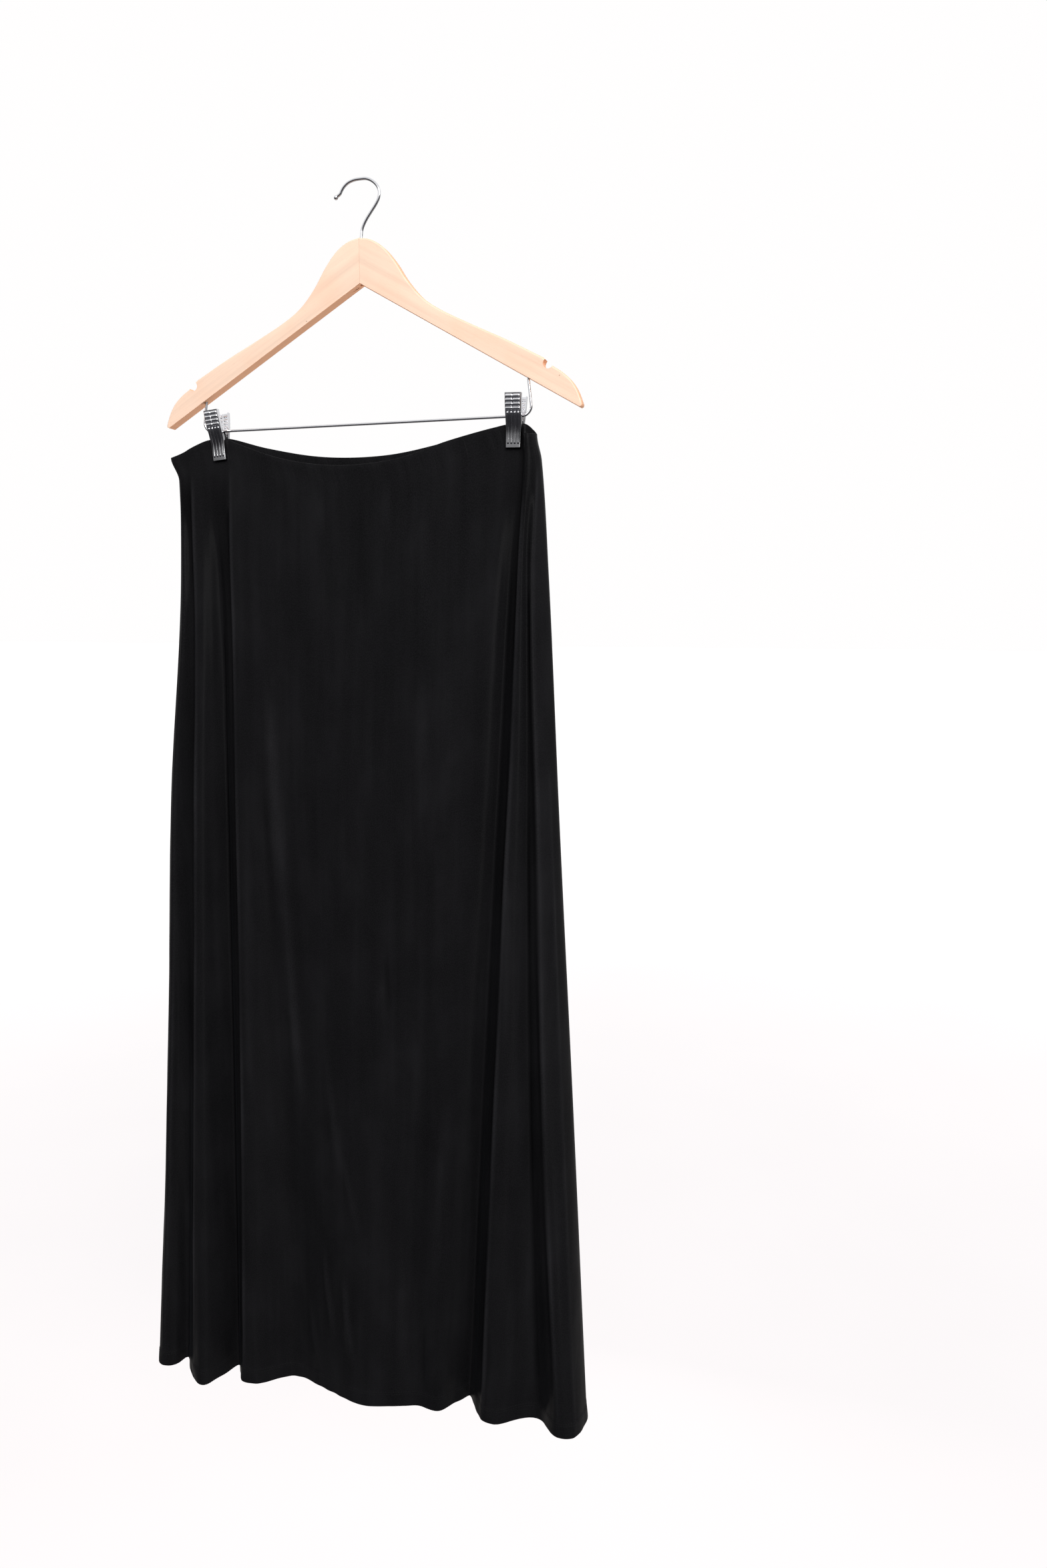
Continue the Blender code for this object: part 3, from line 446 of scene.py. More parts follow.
def applied(thing):
    """The object with its modifiers worked out and taken off, its place moved into its mesh."""
    bpy.context.view_layer.update()
    deps = bpy.context.evaluated_depsgraph_get()
    mesh = bpy.data.meshes.new_from_object(thing.evaluated_get(deps))
    mesh.transform(thing.matrix_world)
    mesh.name = thing.name
    thing.modifiers.clear()
    thing.data = mesh
    thing.matrix_world = Matrix()
    return thing


def remove(*things):
    for thing in things:
        bpy.data.objects.remove(thing, do_unlink=True)


def joined(name, things, material, smooth_below=math.radians(40)):
    """One object from several, which go."""
    maker = bmesh.new()
    for thing in things:
        maker.from_mesh(thing.data)
    mesh = mesh_from(name, maker)
    remove(*things)
    return mesh_object(name, mesh, material, smooth_below)


def settle(piece, slot, *nodes):
    """The piece rides on the body and stands for its nodes; the slot is not used."""
    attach(piece, BODY)
    if nodes:
        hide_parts(*nodes)
    return piece


def smooth_run(points, steps):
    """Points along a smooth curve through given points."""
    points = [Vector(point) for point in points]
    ends = [2 * points[0] - points[1], *points, 2 * points[-1] - points[-2]]
    run = []
    for before, start, end, after in zip(ends, ends[1:], ends[2:], ends[3:]):
        for step in range(steps):
            t = step / steps
            run.append(0.5 * (
                2 * start + (end - before) * t + (2 * before - 5 * start + 4 * end - after) * t ** 2
                + (3 * start - before - 3 * end + after) * t ** 3
            ))
    return run + [points[-1]]


def smoothstep(low, high, value):
    share = np.clip((value - low) / (high - low), 0.0, 1.0)
    return share * share * (3 - 2 * share)


class Nodes:
    """A shader node tree, with short ways to add nodes and links."""

    def __init__(self, tree):
        self.tree = tree

    def add(self, kind, **values):
        node = self.tree.nodes.new(kind)
        for key, value in values.items():
            setattr(node, key, value)
        return node

    def link(self, source, target):
        self.tree.links.new(source, target)

    def coordinates(self, scale=(1, 1, 1), turn=(0, 0, 0), place=(0, 0, 0), uv_map=None):
        """Coordinates of the object or of a named UV map, scaled, turned and moved."""
        if uv_map:
            source = self.add("ShaderNodeUVMap", uv_map=uv_map).outputs["UV"]
        else:
            source = self.add("ShaderNodeTexCoord").outputs["Object"]
        mapping = self.add("ShaderNodeMapping")
        mapping.inputs["Location"].default_value = place
        mapping.inputs["Rotation"].default_value = turn
        mapping.inputs["Scale"].default_value = scale
        self.link(source, mapping.inputs["Vector"])
        return mapping.outputs["Vector"]

    def stretched(self, vector, scale):
        node = self.add("ShaderNodeMapping")
        node.inputs["Scale"].default_value = scale
        self.link(vector, node.inputs["Vector"])
        return node.outputs["Vector"]

    def noise(self, vector, scale=1.0, detail=2.0, roughness=0.5, distortion=0.0):
        node = self.add("ShaderNodeTexNoise")
        node.inputs["Scale"].default_value = scale
        node.inputs["Detail"].default_value = detail
        node.inputs["Roughness"].default_value = roughness
        node.inputs["Distortion"].default_value = distortion
        self.link(vector, node.inputs["Vector"])
        return node.outputs["Fac"]

    def pattern(self, scale, detail=2.0, roughness=0.5, distortion=0.0, uv_map=None):
        """Noise over the object or over a named UV map, its scale given for each axis."""
        return self.noise(self.coordinates(scale=scale, uv_map=uv_map), 1.0, detail, roughness, distortion)

    def math(self, operation, first, second=None):
        node = self.add("ShaderNodeMath", operation=operation)
        for socket, value in zip(node.inputs, (first, second)):
            if value is None:
                continue
            if isinstance(value, (int, float)):
                socket.default_value = value
            else:
                self.link(value, socket)
        return node.outputs[0]

    def ranged(self, value, low, high, to_low, to_high):
        node = self.add("ShaderNodeMapRange", interpolation_type="SMOOTHSTEP")
        self.link(value, node.inputs["Value"])
        for key, number in (("From Min", low), ("From Max", high), ("To Min", to_low), ("To Max", to_high)):
            node.inputs[key].default_value = number
        return node.outputs["Result"]

    def ramp(self, factor, stops):
        """Colours along a factor; stops holds (place, colour)."""
        node = self.add("ShaderNodeValToRGB")
        ramp = node.color_ramp
        while len(ramp.elements) < len(stops):
            ramp.elements.new(0.5)
        for element, (place, colour) in zip(ramp.elements, stops):
            element.position = place
            element.color = (*colour, 1.0)
        self.link(factor, node.inputs["Fac"])
        return node.outputs["Color"]

    def mix(self, factor, first, second):
        node = self.add("ShaderNodeMix", data_type="RGBA")
        pairs = ((node.inputs["Factor"], factor), (node.inputs[6], first), (node.inputs[7], second))
        for socket, value in pairs:
            if isinstance(value, (int, float)):
                socket.default_value = value
            elif isinstance(value, bpy.types.NodeSocket):
                self.link(value, socket)
            else:
                socket.default_value = (*value, 1.0)
        return node.outputs[2]

    def bump(self, height, distance, strength=1.0, under=None):
        node = self.add("ShaderNodeBump")
        node.inputs["Distance"].default_value = distance
        node.inputs["Strength"].default_value = strength
        self.link(height, node.inputs["Height"])
        if under is not None:
            self.link(under, node.inputs["Normal"])
        return node.outputs["Normal"]


class Shader(Nodes):
    """A material with its own node tree."""

    def __init__(self, name):
        self.material = bpy.data.materials.new(name)
        self.material.use_nodes = True
        super().__init__(self.material.node_tree)
        self.surface = self.tree.nodes["Principled BSDF"]

    def constant(self, **values):
        """Values that are the same all over, set on the surface's own sockets."""
        for key, value in values.items():
            self.surface.inputs[key.replace("_", " ")].default_value = value

    def paint(self, **values):
        """Values that vary over the piece, linked to the surface's sockets."""
        for key, value in values.items():
            self.link(value, self.surface.inputs[key.replace("_", " ")])


class GeometryGroup(Nodes):
    """A geometry node group; inputs holds the name, kind and first value of each input after the geometry."""

    def __init__(self, name, inputs):
        super().__init__(bpy.data.node_groups.new(name, "GeometryNodeTree"))
        face = self.tree.interface
        face.new_socket("Geometry", in_out="INPUT", socket_type="NodeSocketGeometry")
        self.inputs = {}
        for title, kind, value in inputs:
            socket = face.new_socket(title, in_out="INPUT", socket_type=f"NodeSocket{kind}")
            if value is not None:
                socket.default_value = value
            self.inputs[title] = socket.identifier
        face.new_socket("Geometry", in_out="OUTPUT", socket_type="NodeSocketGeometry")
        self.source, self.result = self.add("NodeGroupInput"), self.add("NodeGroupOutput")

    def wire(self, *rows):
        """Links given as node, output, node, input."""
        for start, output, end, socket in rows:
            self.link(start.outputs[output], end.inputs[socket])

    def hand_out(self, placed, material, smooth=False):
        """Realizes the instances, gives them the material input's material and hands them out."""
        shape = self.add("GeometryNodeRealizeInstances")
        self.wire((placed, "Instances", shape, "Geometry"))
        if smooth:
            real, shape = shape, self.add("GeometryNodeSetShadeSmooth")
            self.wire((real, "Geometry", shape, "Geometry"))
        painted = self.add("GeometryNodeSetMaterial")
        self.wire((shape, "Geometry", painted, "Geometry"), (self.source, material, painted, "Material"),
                  (painted, "Geometry", self.result, "Geometry"))
        return self

    def grown(self, name, mesh, **values):
        """A plain mesh of what the group makes of a mesh's points or lines."""
        thing = loose(name, mesh)
        modifier = thing.modifiers.new(self.tree.name, "NODES")
        modifier.node_group = self.tree
        for key, value in values.items():
            modifier[self.inputs[key.replace("_", " ")]] = value
        return applied(thing)


def shade_of(colour, factor):
    return tuple(min(channel * factor, 1.0) for channel in colour)


def knit_material(sizes):
    """Slinky black knit: columns of tiny stitches, soft sheen, faint crumples, gathers under the waist and
    light and shade painted along its folds.
    """
    knit = Shader("black slinky knit")
    colour = tuple(sizes.knit_colour)
    cloth = knit.coordinates(uv_map="cloth")
    apart = knit.add("ShaderNodeSeparateXYZ")
    knit.link(cloth, apart.inputs[0])
    across, down = apart.outputs["X"], apart.outputs["Y"]
    streaks = knit.pattern((55, 3.0, 1), 3.0, 0.55, uv_map="cloth")
    clouds = knit.pattern((16, 9, 1), 4.0, 0.6, uv_map="cloth")
    grain = knit.pattern((900, 640, 1), 2.0, 0.6, uv_map="cloth")
    tone = knit.math("ADD", knit.math("MULTIPLY", streaks, 0.45), knit.math("MULTIPLY", clouds, 0.55))
    base = knit.ramp(tone, (
        (0.34, shade_of(colour, 0.62)), (0.50, colour), (0.66, shade_of(colour, 1.6)),
    ))
    base = knit.mix(knit.ranged(grain, 0.35, 0.70, 0.0, 0.42), base, shade_of(colour, 2.3))
    mottle = knit.pattern((240, 170, 1), 3.0, 0.6, uv_map="cloth")
    base = knit.mix(knit.ranged(mottle, 0.40, 0.70, 0.0, 0.12), base, shade_of(colour, 1.8))
    # painted light and shade: the base colour is scaled up on the folds' crests and down in their troughs
    fold_light_attribute = knit.add("ShaderNodeAttribute", attribute_name="painted_fold_light")
    strength = knit.math("MAXIMUM", knit.math("ADD", fold_light_attribute.outputs["Fac"], 1.0), 0.3)
    with_painted_light = knit.add("ShaderNodeVectorMath", operation="SCALE")
    knit.link(base, with_painted_light.inputs[0])
    knit.link(strength, with_painted_light.inputs["Scale"])
    polish = knit.math("ADD", knit.math("MULTIPLY", tone, 0.85), knit.math("MULTIPLY", mottle, 0.15))
    knit.paint(Base_Color=with_painted_light.outputs[0], Roughness=knit.ranged(polish, 0.35, 0.65, 0.42, 0.30))
    wales = knit.math("SINE", knit.math("MULTIPLY", across, math.tau / sizes.wale_pitch))
    courses = knit.math("SINE", knit.math("MULTIPLY", down, math.tau / (sizes.wale_pitch * 0.75)))
    stitches = knit.math("ADD", knit.math("MULTIPLY", wales, 0.12), knit.math("MULTIPLY", courses, 0.05))
    stitches = knit.math("ADD", stitches, knit.math("MULTIPLY", grain, 1.2))
    fine = knit.bump(stitches, 0.03 * MM, 0.5)
    wander = knit.pattern((60, 12, 1), uv_map="cloth")
    gathers = knit.pattern((150, 10, 1), 2.0, 0.5, 0.2, uv_map="cloth")
    gathers = knit.ranged(gathers, 0.50, 0.66, 1.0, 0.0)
    gathers = knit.math("MULTIPLY", gathers, knit.ranged(wander, 0.35, 0.7, 0.5, 2.2))
    below = knit.math("MULTIPLY", knit.ranged(down, 1.5 * MM, 5.0 * MM, 0.0, 1.0),
                      knit.ranged(down, 8 * MM, PUCKER_DEPTH, 1.0, 0.0))
    gathered = knit.bump(knit.math("MULTIPLY", gathers, below), 0.28 * MM, 0.5, fine)
    crumples = knit.pattern((60, 16, 1), 1.5, 0.5, 0.2, uv_map="cloth")
    grain_way = knit.add("ShaderNodeTangent", direction_type="UV_MAP", uv_map="cloth")
    knit.paint(Normal=knit.bump(crumples, 1.2 * MM, 0.5, gathered), Tangent=grain_way.outputs[0])
    knit.constant(Specular_IOR_Level=0.5, Sheen_Weight=0.006, Sheen_Roughness=0.35, IOR=1.10,
                  Sheen_Tint=(0.80, 0.86, 1.0, 1.0), Anisotropic=0.85, Anisotropic_Rotation=0.25)
    return knit.material


def thread_material(sizes):
    """The hem's thread, a little smoother and lighter than the knit."""
    thread = Shader("black thread")
    twist = thread.pattern((900, 900, 900))
    colour = tuple(sizes.knit_colour)
    thread.paint(Base_Color=thread.ramp(twist, ((0.3, shade_of(colour, 0.8)), (0.7, shade_of(colour, 1.3)))),
                 Normal=thread.bump(twist, 0.05 * MM, 0.4))
    thread.constant(Roughness=0.6, Specular_IOR_Level=0.12)
    return thread.material


def wood_material(sizes, side):
    """Pale lacquered wood with fine straight grain along one arm and pores, with painted shade on its rims
    and underside.
    """
    wood = Shader(f"pale lacquered wood {'left' if side < 0 else 'right'}")
    # the left arm is painted a little lighter than the right, as painted light: its front catches the light
    # more at the mitre
    colour = shade_of(sizes.wood_colour, 1.04 if side < 0 else 1.0)
    tip_x, tip_z = WOOD_TIP
    slope = math.atan2(WOOD_APEX - tip_z, tip_x) * side
    along = wood.coordinates(turn=(0, -slope, 0))
    rings = wood.noise(wood.stretched(along, (5.0, 150.0, 150.0)), 1.0, 5.0, 0.6, 0.4)
    pores = wood.noise(wood.stretched(along, (220.0, 1500.0, 1500.0)), 1.0, 2.0, 0.5)
    drift = wood.noise(along, 22.0, 2.0, 0.5)
    base = wood.ramp(rings, (
        (0.28, shade_of(colour, 0.90)), (0.48, colour), (0.72, shade_of(colour, 1.07)),
    ))
    base = wood.mix(wood.ranged(pores, 0.60, 0.78, 0.0, 0.17), base, PORE_COLOUR)
    base = wood.mix(wood.ranged(drift, 0.35, 0.75, 0.0, 0.32), base, DRIFT_COLOUR)
    # painted shade: faces that turn away from the front and back, the rims, top and underside, are painted
    # deeper
    facing = wood.add("ShaderNodeSeparateXYZ")
    wood.link(wood.add("ShaderNodeNewGeometry").outputs["Normal"], facing.inputs[0])
    turned = wood.math("ABSOLUTE", facing.outputs["Y"])
    base = wood.mix(wood.ranged(turned, 0.30, 0.99, 0.80, 0.0), base, RIM_PAINTED_SHADE_COLOUR)
    base = wood.mix(wood.ranged(wood_knot(wood, side), 0.0, 0.9 * MM, 0.8, 0.0), base, KNOT_COLOUR)
    relief = wood.math("SUBTRACT", wood.math("MULTIPLY", rings, 0.4), wood.math("MULTIPLY", pores, 0.6))
    wood.paint(Base_Color=base, Roughness=wood.ranged(rings, 0.3, 0.7, 0.42, 0.50),
               Normal=wood.bump(relief, 0.06 * MM, 0.5))
    wood.constant(Coat_Weight=0.12, Coat_Roughness=0.22, Specular_IOR_Level=0.16)
    return wood.material


def wood_knot(wood, side):
    """How far a point is from the small brown mark on an arm's front."""
    node = wood.add("ShaderNodeVectorMath", operation="DISTANCE")
    wood.link(wood.coordinates(), node.inputs[0])
    node.inputs[1].default_value = KNOTS[side]
    return node.outputs["Value"]


def chrome_material(name, roughness, tint, painted_dark_below=None):
    """Chromed steel with faint polishing marks and smudges, and a painted dark reflection below a height
    where one is given.
    """
    chrome = Shader(name)
    marks = chrome.pattern((300, 300, 1400), 3.0)
    smudges = chrome.pattern((90, 90, 90), 3.0)
    base = chrome.ramp(smudges, ((0.3, shade_of(tint, 0.92)), (0.7, tint)))
    if painted_dark_below is not None:
        # painted reflection: below the given height the metal is painted dark
        height = chrome.add("ShaderNodeSeparateXYZ")
        chrome.link(chrome.coordinates(), height.inputs[0])
        share = chrome.ranged(height.outputs["Z"], painted_dark_below - JAW_PAINTED_DARK_REACH, painted_dark_below, 0.75, 0.0)
        base = chrome.mix(share, base, shade_of(tint, 0.22))
    chrome.paint(Base_Color=base, Roughness=chrome.ranged(smudges, 0.3, 0.75, roughness, roughness * 2.1),
                 Normal=chrome.bump(marks, 0.02 * MM, 0.25))
    chrome.constant(Metallic=1.0)
    return chrome.material


def rubber_material():
    """Matt black rubber with a fine moulded grain."""
    rubber = Shader("matt black rubber")
    grain = rubber.pattern((900, 900, 900), 3.0)
    rubber.paint(Base_Color=rubber.ramp(grain, RUBBER_COLOURS), Normal=rubber.bump(grain, 0.05 * MM, 0.4))
    rubber.constant(Roughness=0.62, Specular_IOR_Level=0.3)
    return rubber.material


def eased(stations, values, at):
    """Values between stations along a line, with no overshoot (a monotone cubic)."""
    stations = np.asarray(stations, float)
    values = np.asarray(values, float)
    runs = np.diff(stations)
    slopes = np.diff(values) / runs
    tangents = np.zeros(len(values))
    for index in range(1, len(values) - 1):
        before, after = slopes[index - 1], slopes[index]
        if before * after > 0:
            weight_a = 2 * runs[index] + runs[index - 1]
            weight_b = runs[index] + 2 * runs[index - 1]
            tangents[index] = (weight_a + weight_b) / (weight_a / before + weight_b / after)
    tangents[-1] = slopes[-1]
    index = np.clip(np.searchsorted(stations, at) - 1, 0, len(runs) - 1)
    step = runs[index]
    t = (at - stations[index]) / step
    return (
        values[index] * (2 * t ** 3 - 3 * t ** 2 + 1) + step * tangents[index] * (t ** 3 - 2 * t ** 2 + t)
        + values[index + 1] * (3 * t ** 2 - 2 * t ** 3) + step * tangents[index + 1] * (t ** 3 - t ** 2)
    )


def fold_line(row, shares, casing_depth):
    """Points down one fold line, at shares of the way from the waist edge to the hem."""
    line = dict(zip(FOLD_COLUMNS, row))
    edge = line["edge"] * MM
    hem = HEM_HEIGHT + HEM_TILT * line["hem"][0] * MM
    heights = np.array([edge, edge - casing_depth, HIP_HEIGHT, THIGH_HEIGHT, KNEE_HEIGHT, hem])
    places = [line[level] for level in ("waist", "casing", "hip", "thigh", "knee", "hem")]
    at = edge + (hem - edge) * shares
    x = eased(-heights, [place[0] * MM for place in places], -at)
    y = eased(-heights, [place[1] * MM for place in places], -at)
    return np.column_stack([x, y, at])


def row_shares(sizes):
    """The rows of the cloth, close together at the waist edge and at the hem."""
    length = abs(HEM_HEIGHT) - WAIST_DROP
    casing = np.linspace(0.0, sizes.casing_depth + ROW_MARGIN, ROWS_AT_WAIST) / length
    hem = 1.0 - np.linspace(sizes.hem_depth + ROW_MARGIN, 0.0, ROWS_AT_HEM) / length
    body = np.arange(casing[-1], hem[0], sizes.row_step / length)[1:]
    return np.concatenate([casing, body[:-1], hem])


def span_counts(lines, sizes):
    """How many columns of cloth each span between two fold lines gets, more of them beside a ridge."""
    spans = np.linalg.norm(np.roll(lines, -1, axis=0) - lines, axis=2).mean(axis=1)
    ridged = {ridge[0] for ridge in FRONT_RIDGES + BACK_RIDGES}
    names = [fold[0] for fold in FRONT_FOLDS + BACK_FOLDS]
    counts = []
    for index, span in enumerate(spans):
        beside = names[index] in ridged or names[(index + 1) % len(names)] in ridged
        counts.append(max(RIDGE_COLUMNS if beside else LEAST_COLUMNS, round(span / sizes.column_step)))
    return counts


def closed_curve(points, counts):
    """A smooth closed curve through each row's points (a centripetal one, so that it never loops)."""
    count = len(points)
    curve = []
    for index, steps in enumerate(counts):
        a, b, c, d = (points[(index + shift) % count] for shift in (-1, 0, 1, 2))
        knot_b = np.sqrt(np.linalg.norm(b - a, axis=1))[:, None]
        knot_c = knot_b + np.sqrt(np.linalg.norm(c - b, axis=1))[:, None]
        knot_d = knot_c + np.sqrt(np.linalg.norm(d - c, axis=1))[:, None]
        for step in range(steps):
            at = knot_b + (knot_c - knot_b) * step / steps
            ab = a + (b - a) * at / knot_b
            bc = b + (c - b) * (at - knot_b) / (knot_c - knot_b)
            cd = c + (d - c) * (at - knot_c) / (knot_d - knot_c)
            abc = ab + (bc - ab) * at / knot_c
            bcd = bc + (cd - bc) * (at - knot_b) / (knot_d - knot_b)
            curve.append(abc + (bcd - abc) * (at - knot_b) / (knot_c - knot_b))
    return np.array(curve)


def outward_normals(surface):
    """The outward direction at each point of the tube."""
    along = np.roll(surface, -1, axis=0) - np.roll(surface, 1, axis=0)
    down = np.gradient(surface, axis=1)
    normals = np.cross(down, along)
    return normals / np.linalg.norm(normals, axis=2, keepdims=True)


def crease_lift(points, creases):
    """How far the creases lift or sink each point, and how much light or shade is painted on the cloth there.
    """
    lift = np.zeros(points.shape[:2])
    tone = np.zeros(points.shape[:2])
    x, z = points[:, :, 0], points[:, :, 2]
    for row in creases:
        crease = dict(zip(CREASE_COLUMNS, row))
        (top_x, top_z), (foot_x, foot_z) = crease["top"], crease["foot"]
        share = (top_z * MM - z) / ((top_z - foot_z) * MM)
        sway = CREASE_SWAY * np.sin(share * CREASE_TURNS + top_x)
        middle = (top_x + (foot_x - top_x) * share + sway) * MM
        width = crease["width"] * MM * (0.75 + 0.5 * share)
        fade = smoothstep(*CREASE_START, share) * smoothstep(*CREASE_END, share)
        lift += crease["height"] * MM * fade * np.exp(-((x - middle) / width) ** 2)
        # a painted highlight just to the right of a crease's crest; a trough gets painted shade
        lit = np.exp(-((x - middle - PAINTED_HIGHLIGHT_SHIFT * MM) / width) ** 2)
        tone += CREASE_PAINTED_LIGHT * crease["height"] * fade * lit
    return lift, tone


def ridge_lift(points, across, folds, ridges, steps):
    """How far the crisp ridges along the folds lift each point, and the light and shade painted beside them.
    """
    names = [row[0] for row in folds]
    lift = np.zeros(points.shape[:2])
    tone = np.zeros(points.shape[:2])
    for name, top, foot, width, height, offset, depth in ridges:
        column = min(sum(steps[:names.index(name)]), len(across) - 1)
        share = (top * MM - points[:, :, 2]) / ((top - foot) * MM)
        strength = 0.75 + 0.25 * np.sin(points[:, :, 2] * RIDGE_RIPPLE + column)
        fade = smoothstep(*RIDGE_START, share) * smoothstep(*RIDGE_END, share) * strength
        apart = (across - across[column]) / MM
        lift += height * MM * fade * np.exp(-(apart / width) ** 2)
        lift -= depth * MM * fade * np.exp(-((apart + offset) / (TROUGH_SHARE * offset)) ** 2)
        # painted sheen to the right of a ridge, a painted highlight on its crest and painted shade to its
        # left, by the trough
        sheen = RIDGE_PAINTED_SHEEN * np.where(apart > 0, np.exp(-np.maximum(apart, 0) / PAINTED_SHEEN_REACH), 0.0)
        glow = RIDGE_PAINTED_HIGHLIGHT * np.exp(-((apart - PAINTED_HIGHLIGHT_SHIFT) / 2.0) ** 2)
        fade = smoothstep(*PAINTED_LIGHT_START, share) * smoothstep(*RIDGE_END, share) * strength
        shade = RIDGE_PAINTED_SHADE * min(depth / TROUGH_FULL_SHADE, 1.0) * np.exp(-(apart / (PAINTED_SHADE_SHARE * offset)) ** 2)
        light = glow + (sheen if height > 0 else 0.0)
        tone += fade * min(max(height, -1.0), RIDGE_FULL_HIGHLIGHT) / RIDGE_FULL_HIGHLIGHT * light
        tone -= fade * np.where(apart < 0, shade, 0.0)
    return lift, tone


def waves(rows, u, v):
    """The sum of some waves at a place on the cloth."""
    return sum(height * noise.noise((u * wide, v * tall, seed)) for height, wide, tall, seed in rows)


def uneven(across, down, above_hem):
    """Small slow unevenness of the hanging cloth, taller than wide, and short waves at the hem."""
    lift = np.zeros(across.shape)
    at_hem = smoothstep(HEM_WAVE_REACH, 5 * MM, above_hem)
    for place in np.ndindex(across.shape):
        u, v = across[place], down[place]
        lift[place] = waves(SLOW_WAVES, u, v) + at_hem[place] * waves(HEM_WAVES, u, v)
    return lift


def cloth_sizes(surface, columns):
    """How far each point of a panel lies across from its middle line and down from the waist edge."""
    picked = surface[columns]
    across = np.zeros(picked.shape[:2])
    across[1:] = np.cumsum(np.linalg.norm(np.diff(picked, axis=0), axis=2), axis=0)
    across -= across[-1] / 2
    down = np.zeros(picked.shape[:2])
    down[:, 1:] = np.cumsum(np.linalg.norm(np.diff(picked, axis=1), axis=2), axis=1)
    return across, down


def panel_form(surface, normals, columns, creases, folds, ridges, counts, sizes):
    """A panel's middle surface with its creases, its thickness, its places on the cloth and the light and
    shade painted on it.
    """
    across, down = cloth_sizes(surface, columns)
    picked = surface[columns].copy()
    facing = normals[columns]
    calm = smoothstep(CALM_HEIGHT, CALM_HEIGHT - CALM_FADE, picked[:, :, 2])
    above_hem = down[:, -1:] - down
    creased, crease_painted_light = crease_lift(picked, creases)
    ridged, ridge_painted_light = ridge_lift(picked, across, folds, ridges, counts)
    lift = (creased + ridged + uneven(across, down, above_hem)) * calm
    # the light and shade painted along the creases and ridges, which comes in below the clips
    with_painted_light = smoothstep(*PAINTED_LIGHT_HEIGHTS, picked[:, :, 2])
    tone = (crease_painted_light + ridge_painted_light) * with_painted_light
    from_seam = np.minimum(across - across[0], across[-1] - across)
    lift -= SEAM_SINK * np.exp(-(from_seam / SEAM_REACH) ** 2) * calm
    lift *= smoothstep(0.0, SEAM_CALM, from_seam) * 0.9 + 0.1
    hem_turn = smoothstep(sizes.hem_depth + HEM_SOFTNESS, sizes.hem_depth - HEM_SOFTNESS, above_hem)
    waist_turn = smoothstep(*WAIST_FADE, down)
    wall = PLAIN_WALL + hem_turn * (HEM_RIM - PLAIN_WALL - HEM_STEP) + waist_turn * (WAIST_RIM - PLAIN_WALL)
    picked += facing * (lift + hem_turn * HEM_STEP / 2)[:, :, None]
    return picked, facing, wall, across, down, above_hem, tone


def rim_arc(outer, inner, outwards, steps):
    """Points round a turned edge, from its outer to its inner side."""
    middle = (outer + inner) / 2
    half = (outer - inner) / 2
    reach = np.linalg.norm(half, axis=-1, keepdims=True)
    arc = []
    for step in range(1, steps):
        angle = math.pi * step / steps
        arc.append(middle + half * math.cos(angle) + outwards * reach * math.sin(angle))
    return arc


def panel_mesh(name, form):
    """A closed thin shell: outer side, round hem fold, inner side and round waist fold."""
    picked, facing, wall, across, down, _, tone = form
    marks = (across, down, tone)
    half = (wall / 2)[:, :, None]
    outer, inner = picked + facing * half, picked - facing * half
    inset = 0.5  # the fold's roundness stays within the cloth's length
    ends = []
    for row, beside in ((-1, -2), (0, 1)):
        along = picked[:, row] - picked[:, beside]
        along /= np.linalg.norm(along, axis=1, keepdims=True)
        for face in (outer, inner):
            face[:, row] -= along * wall[:, row, None] * inset
        ends.append(along)
    steps = RIM_STEPS
    hem_arc = rim_arc(outer[:, -1], inner[:, -1], ends[0], steps)
    waist_arc = rim_arc(inner[:, 0], outer[:, 0], ends[1], steps)
    tall = picked.shape[1]
    outer_rings = [outer[:, row] for row in range(tall)]
    inner_rings = [inner[:, row] for row in reversed(range(tall))]
    points = np.stack(outer_rings + hem_arc + inner_rings + waist_arc, axis=1)
    order = [*range(tall), *[tall - 1] * (steps - 1), *reversed(range(tall)), *[0] * (steps - 1)]
    places = [[mark[:, row] for mark in marks] for row in order]
    place_grid = np.stack([np.stack(place, axis=1) for place in places], axis=1)
    wide, around = points.shape[:2]
    index = np.arange(wide * around).reshape(wide, around)
    faces = []
    for column in range(wide - 1):
        here, there = index[column], index[column + 1]
        after_here, after_there = np.roll(here, -1), np.roll(there, -1)
        faces += np.stack([here, after_here, after_there, there], axis=1).tolist()
    for column, flip in ((0, False), (wide - 1, True)):
        ring = index[column]
        for row in range(tall - 1):
            far = 2 * tall + steps - 2 - row
            quad = [ring[row], ring[far], ring[far - 1], ring[row + 1]]
            faces.append([int(corner) for corner in (reversed(quad) if flip else quad)])
        hem_cap = [ring[row] for row in range(tall - 1, tall + steps)]
        waist_cap = [ring[row] for row in range(2 * tall + steps - 2, around)] + [ring[0]]
        for cap in (hem_cap, waist_cap):
            faces.append([int(corner) for corner in (cap if flip else reversed(cap))])
    mesh = bpy.data.meshes.new(name)
    mesh.from_pydata(points.reshape(-1, 3).tolist(), [], faces)
    mesh.update()
    flat = place_grid.reshape(-1, len(marks))
    corners = np.empty(len(mesh.loops), dtype=np.int64)
    mesh.loops.foreach_get("vertex_index", corners)
    layer = mesh.uv_layers.new(name="cloth")
    layer.data.foreach_set("uv", flat[corners, :2].astype(np.float32).ravel())
    # the light and shade painted along the folds, carried to the knit as a point attribute
    shade = mesh.attributes.new("painted_fold_light", "FLOAT", "POINT")
    shade.data.foreach_set("value", flat[:, 2].astype(np.float32))
    maker = bmesh.new()
    maker.from_mesh(mesh)
    bmesh.ops.recalc_face_normals(maker, faces=maker.faces)
    maker.to_mesh(mesh)
    maker.free()
    return mesh


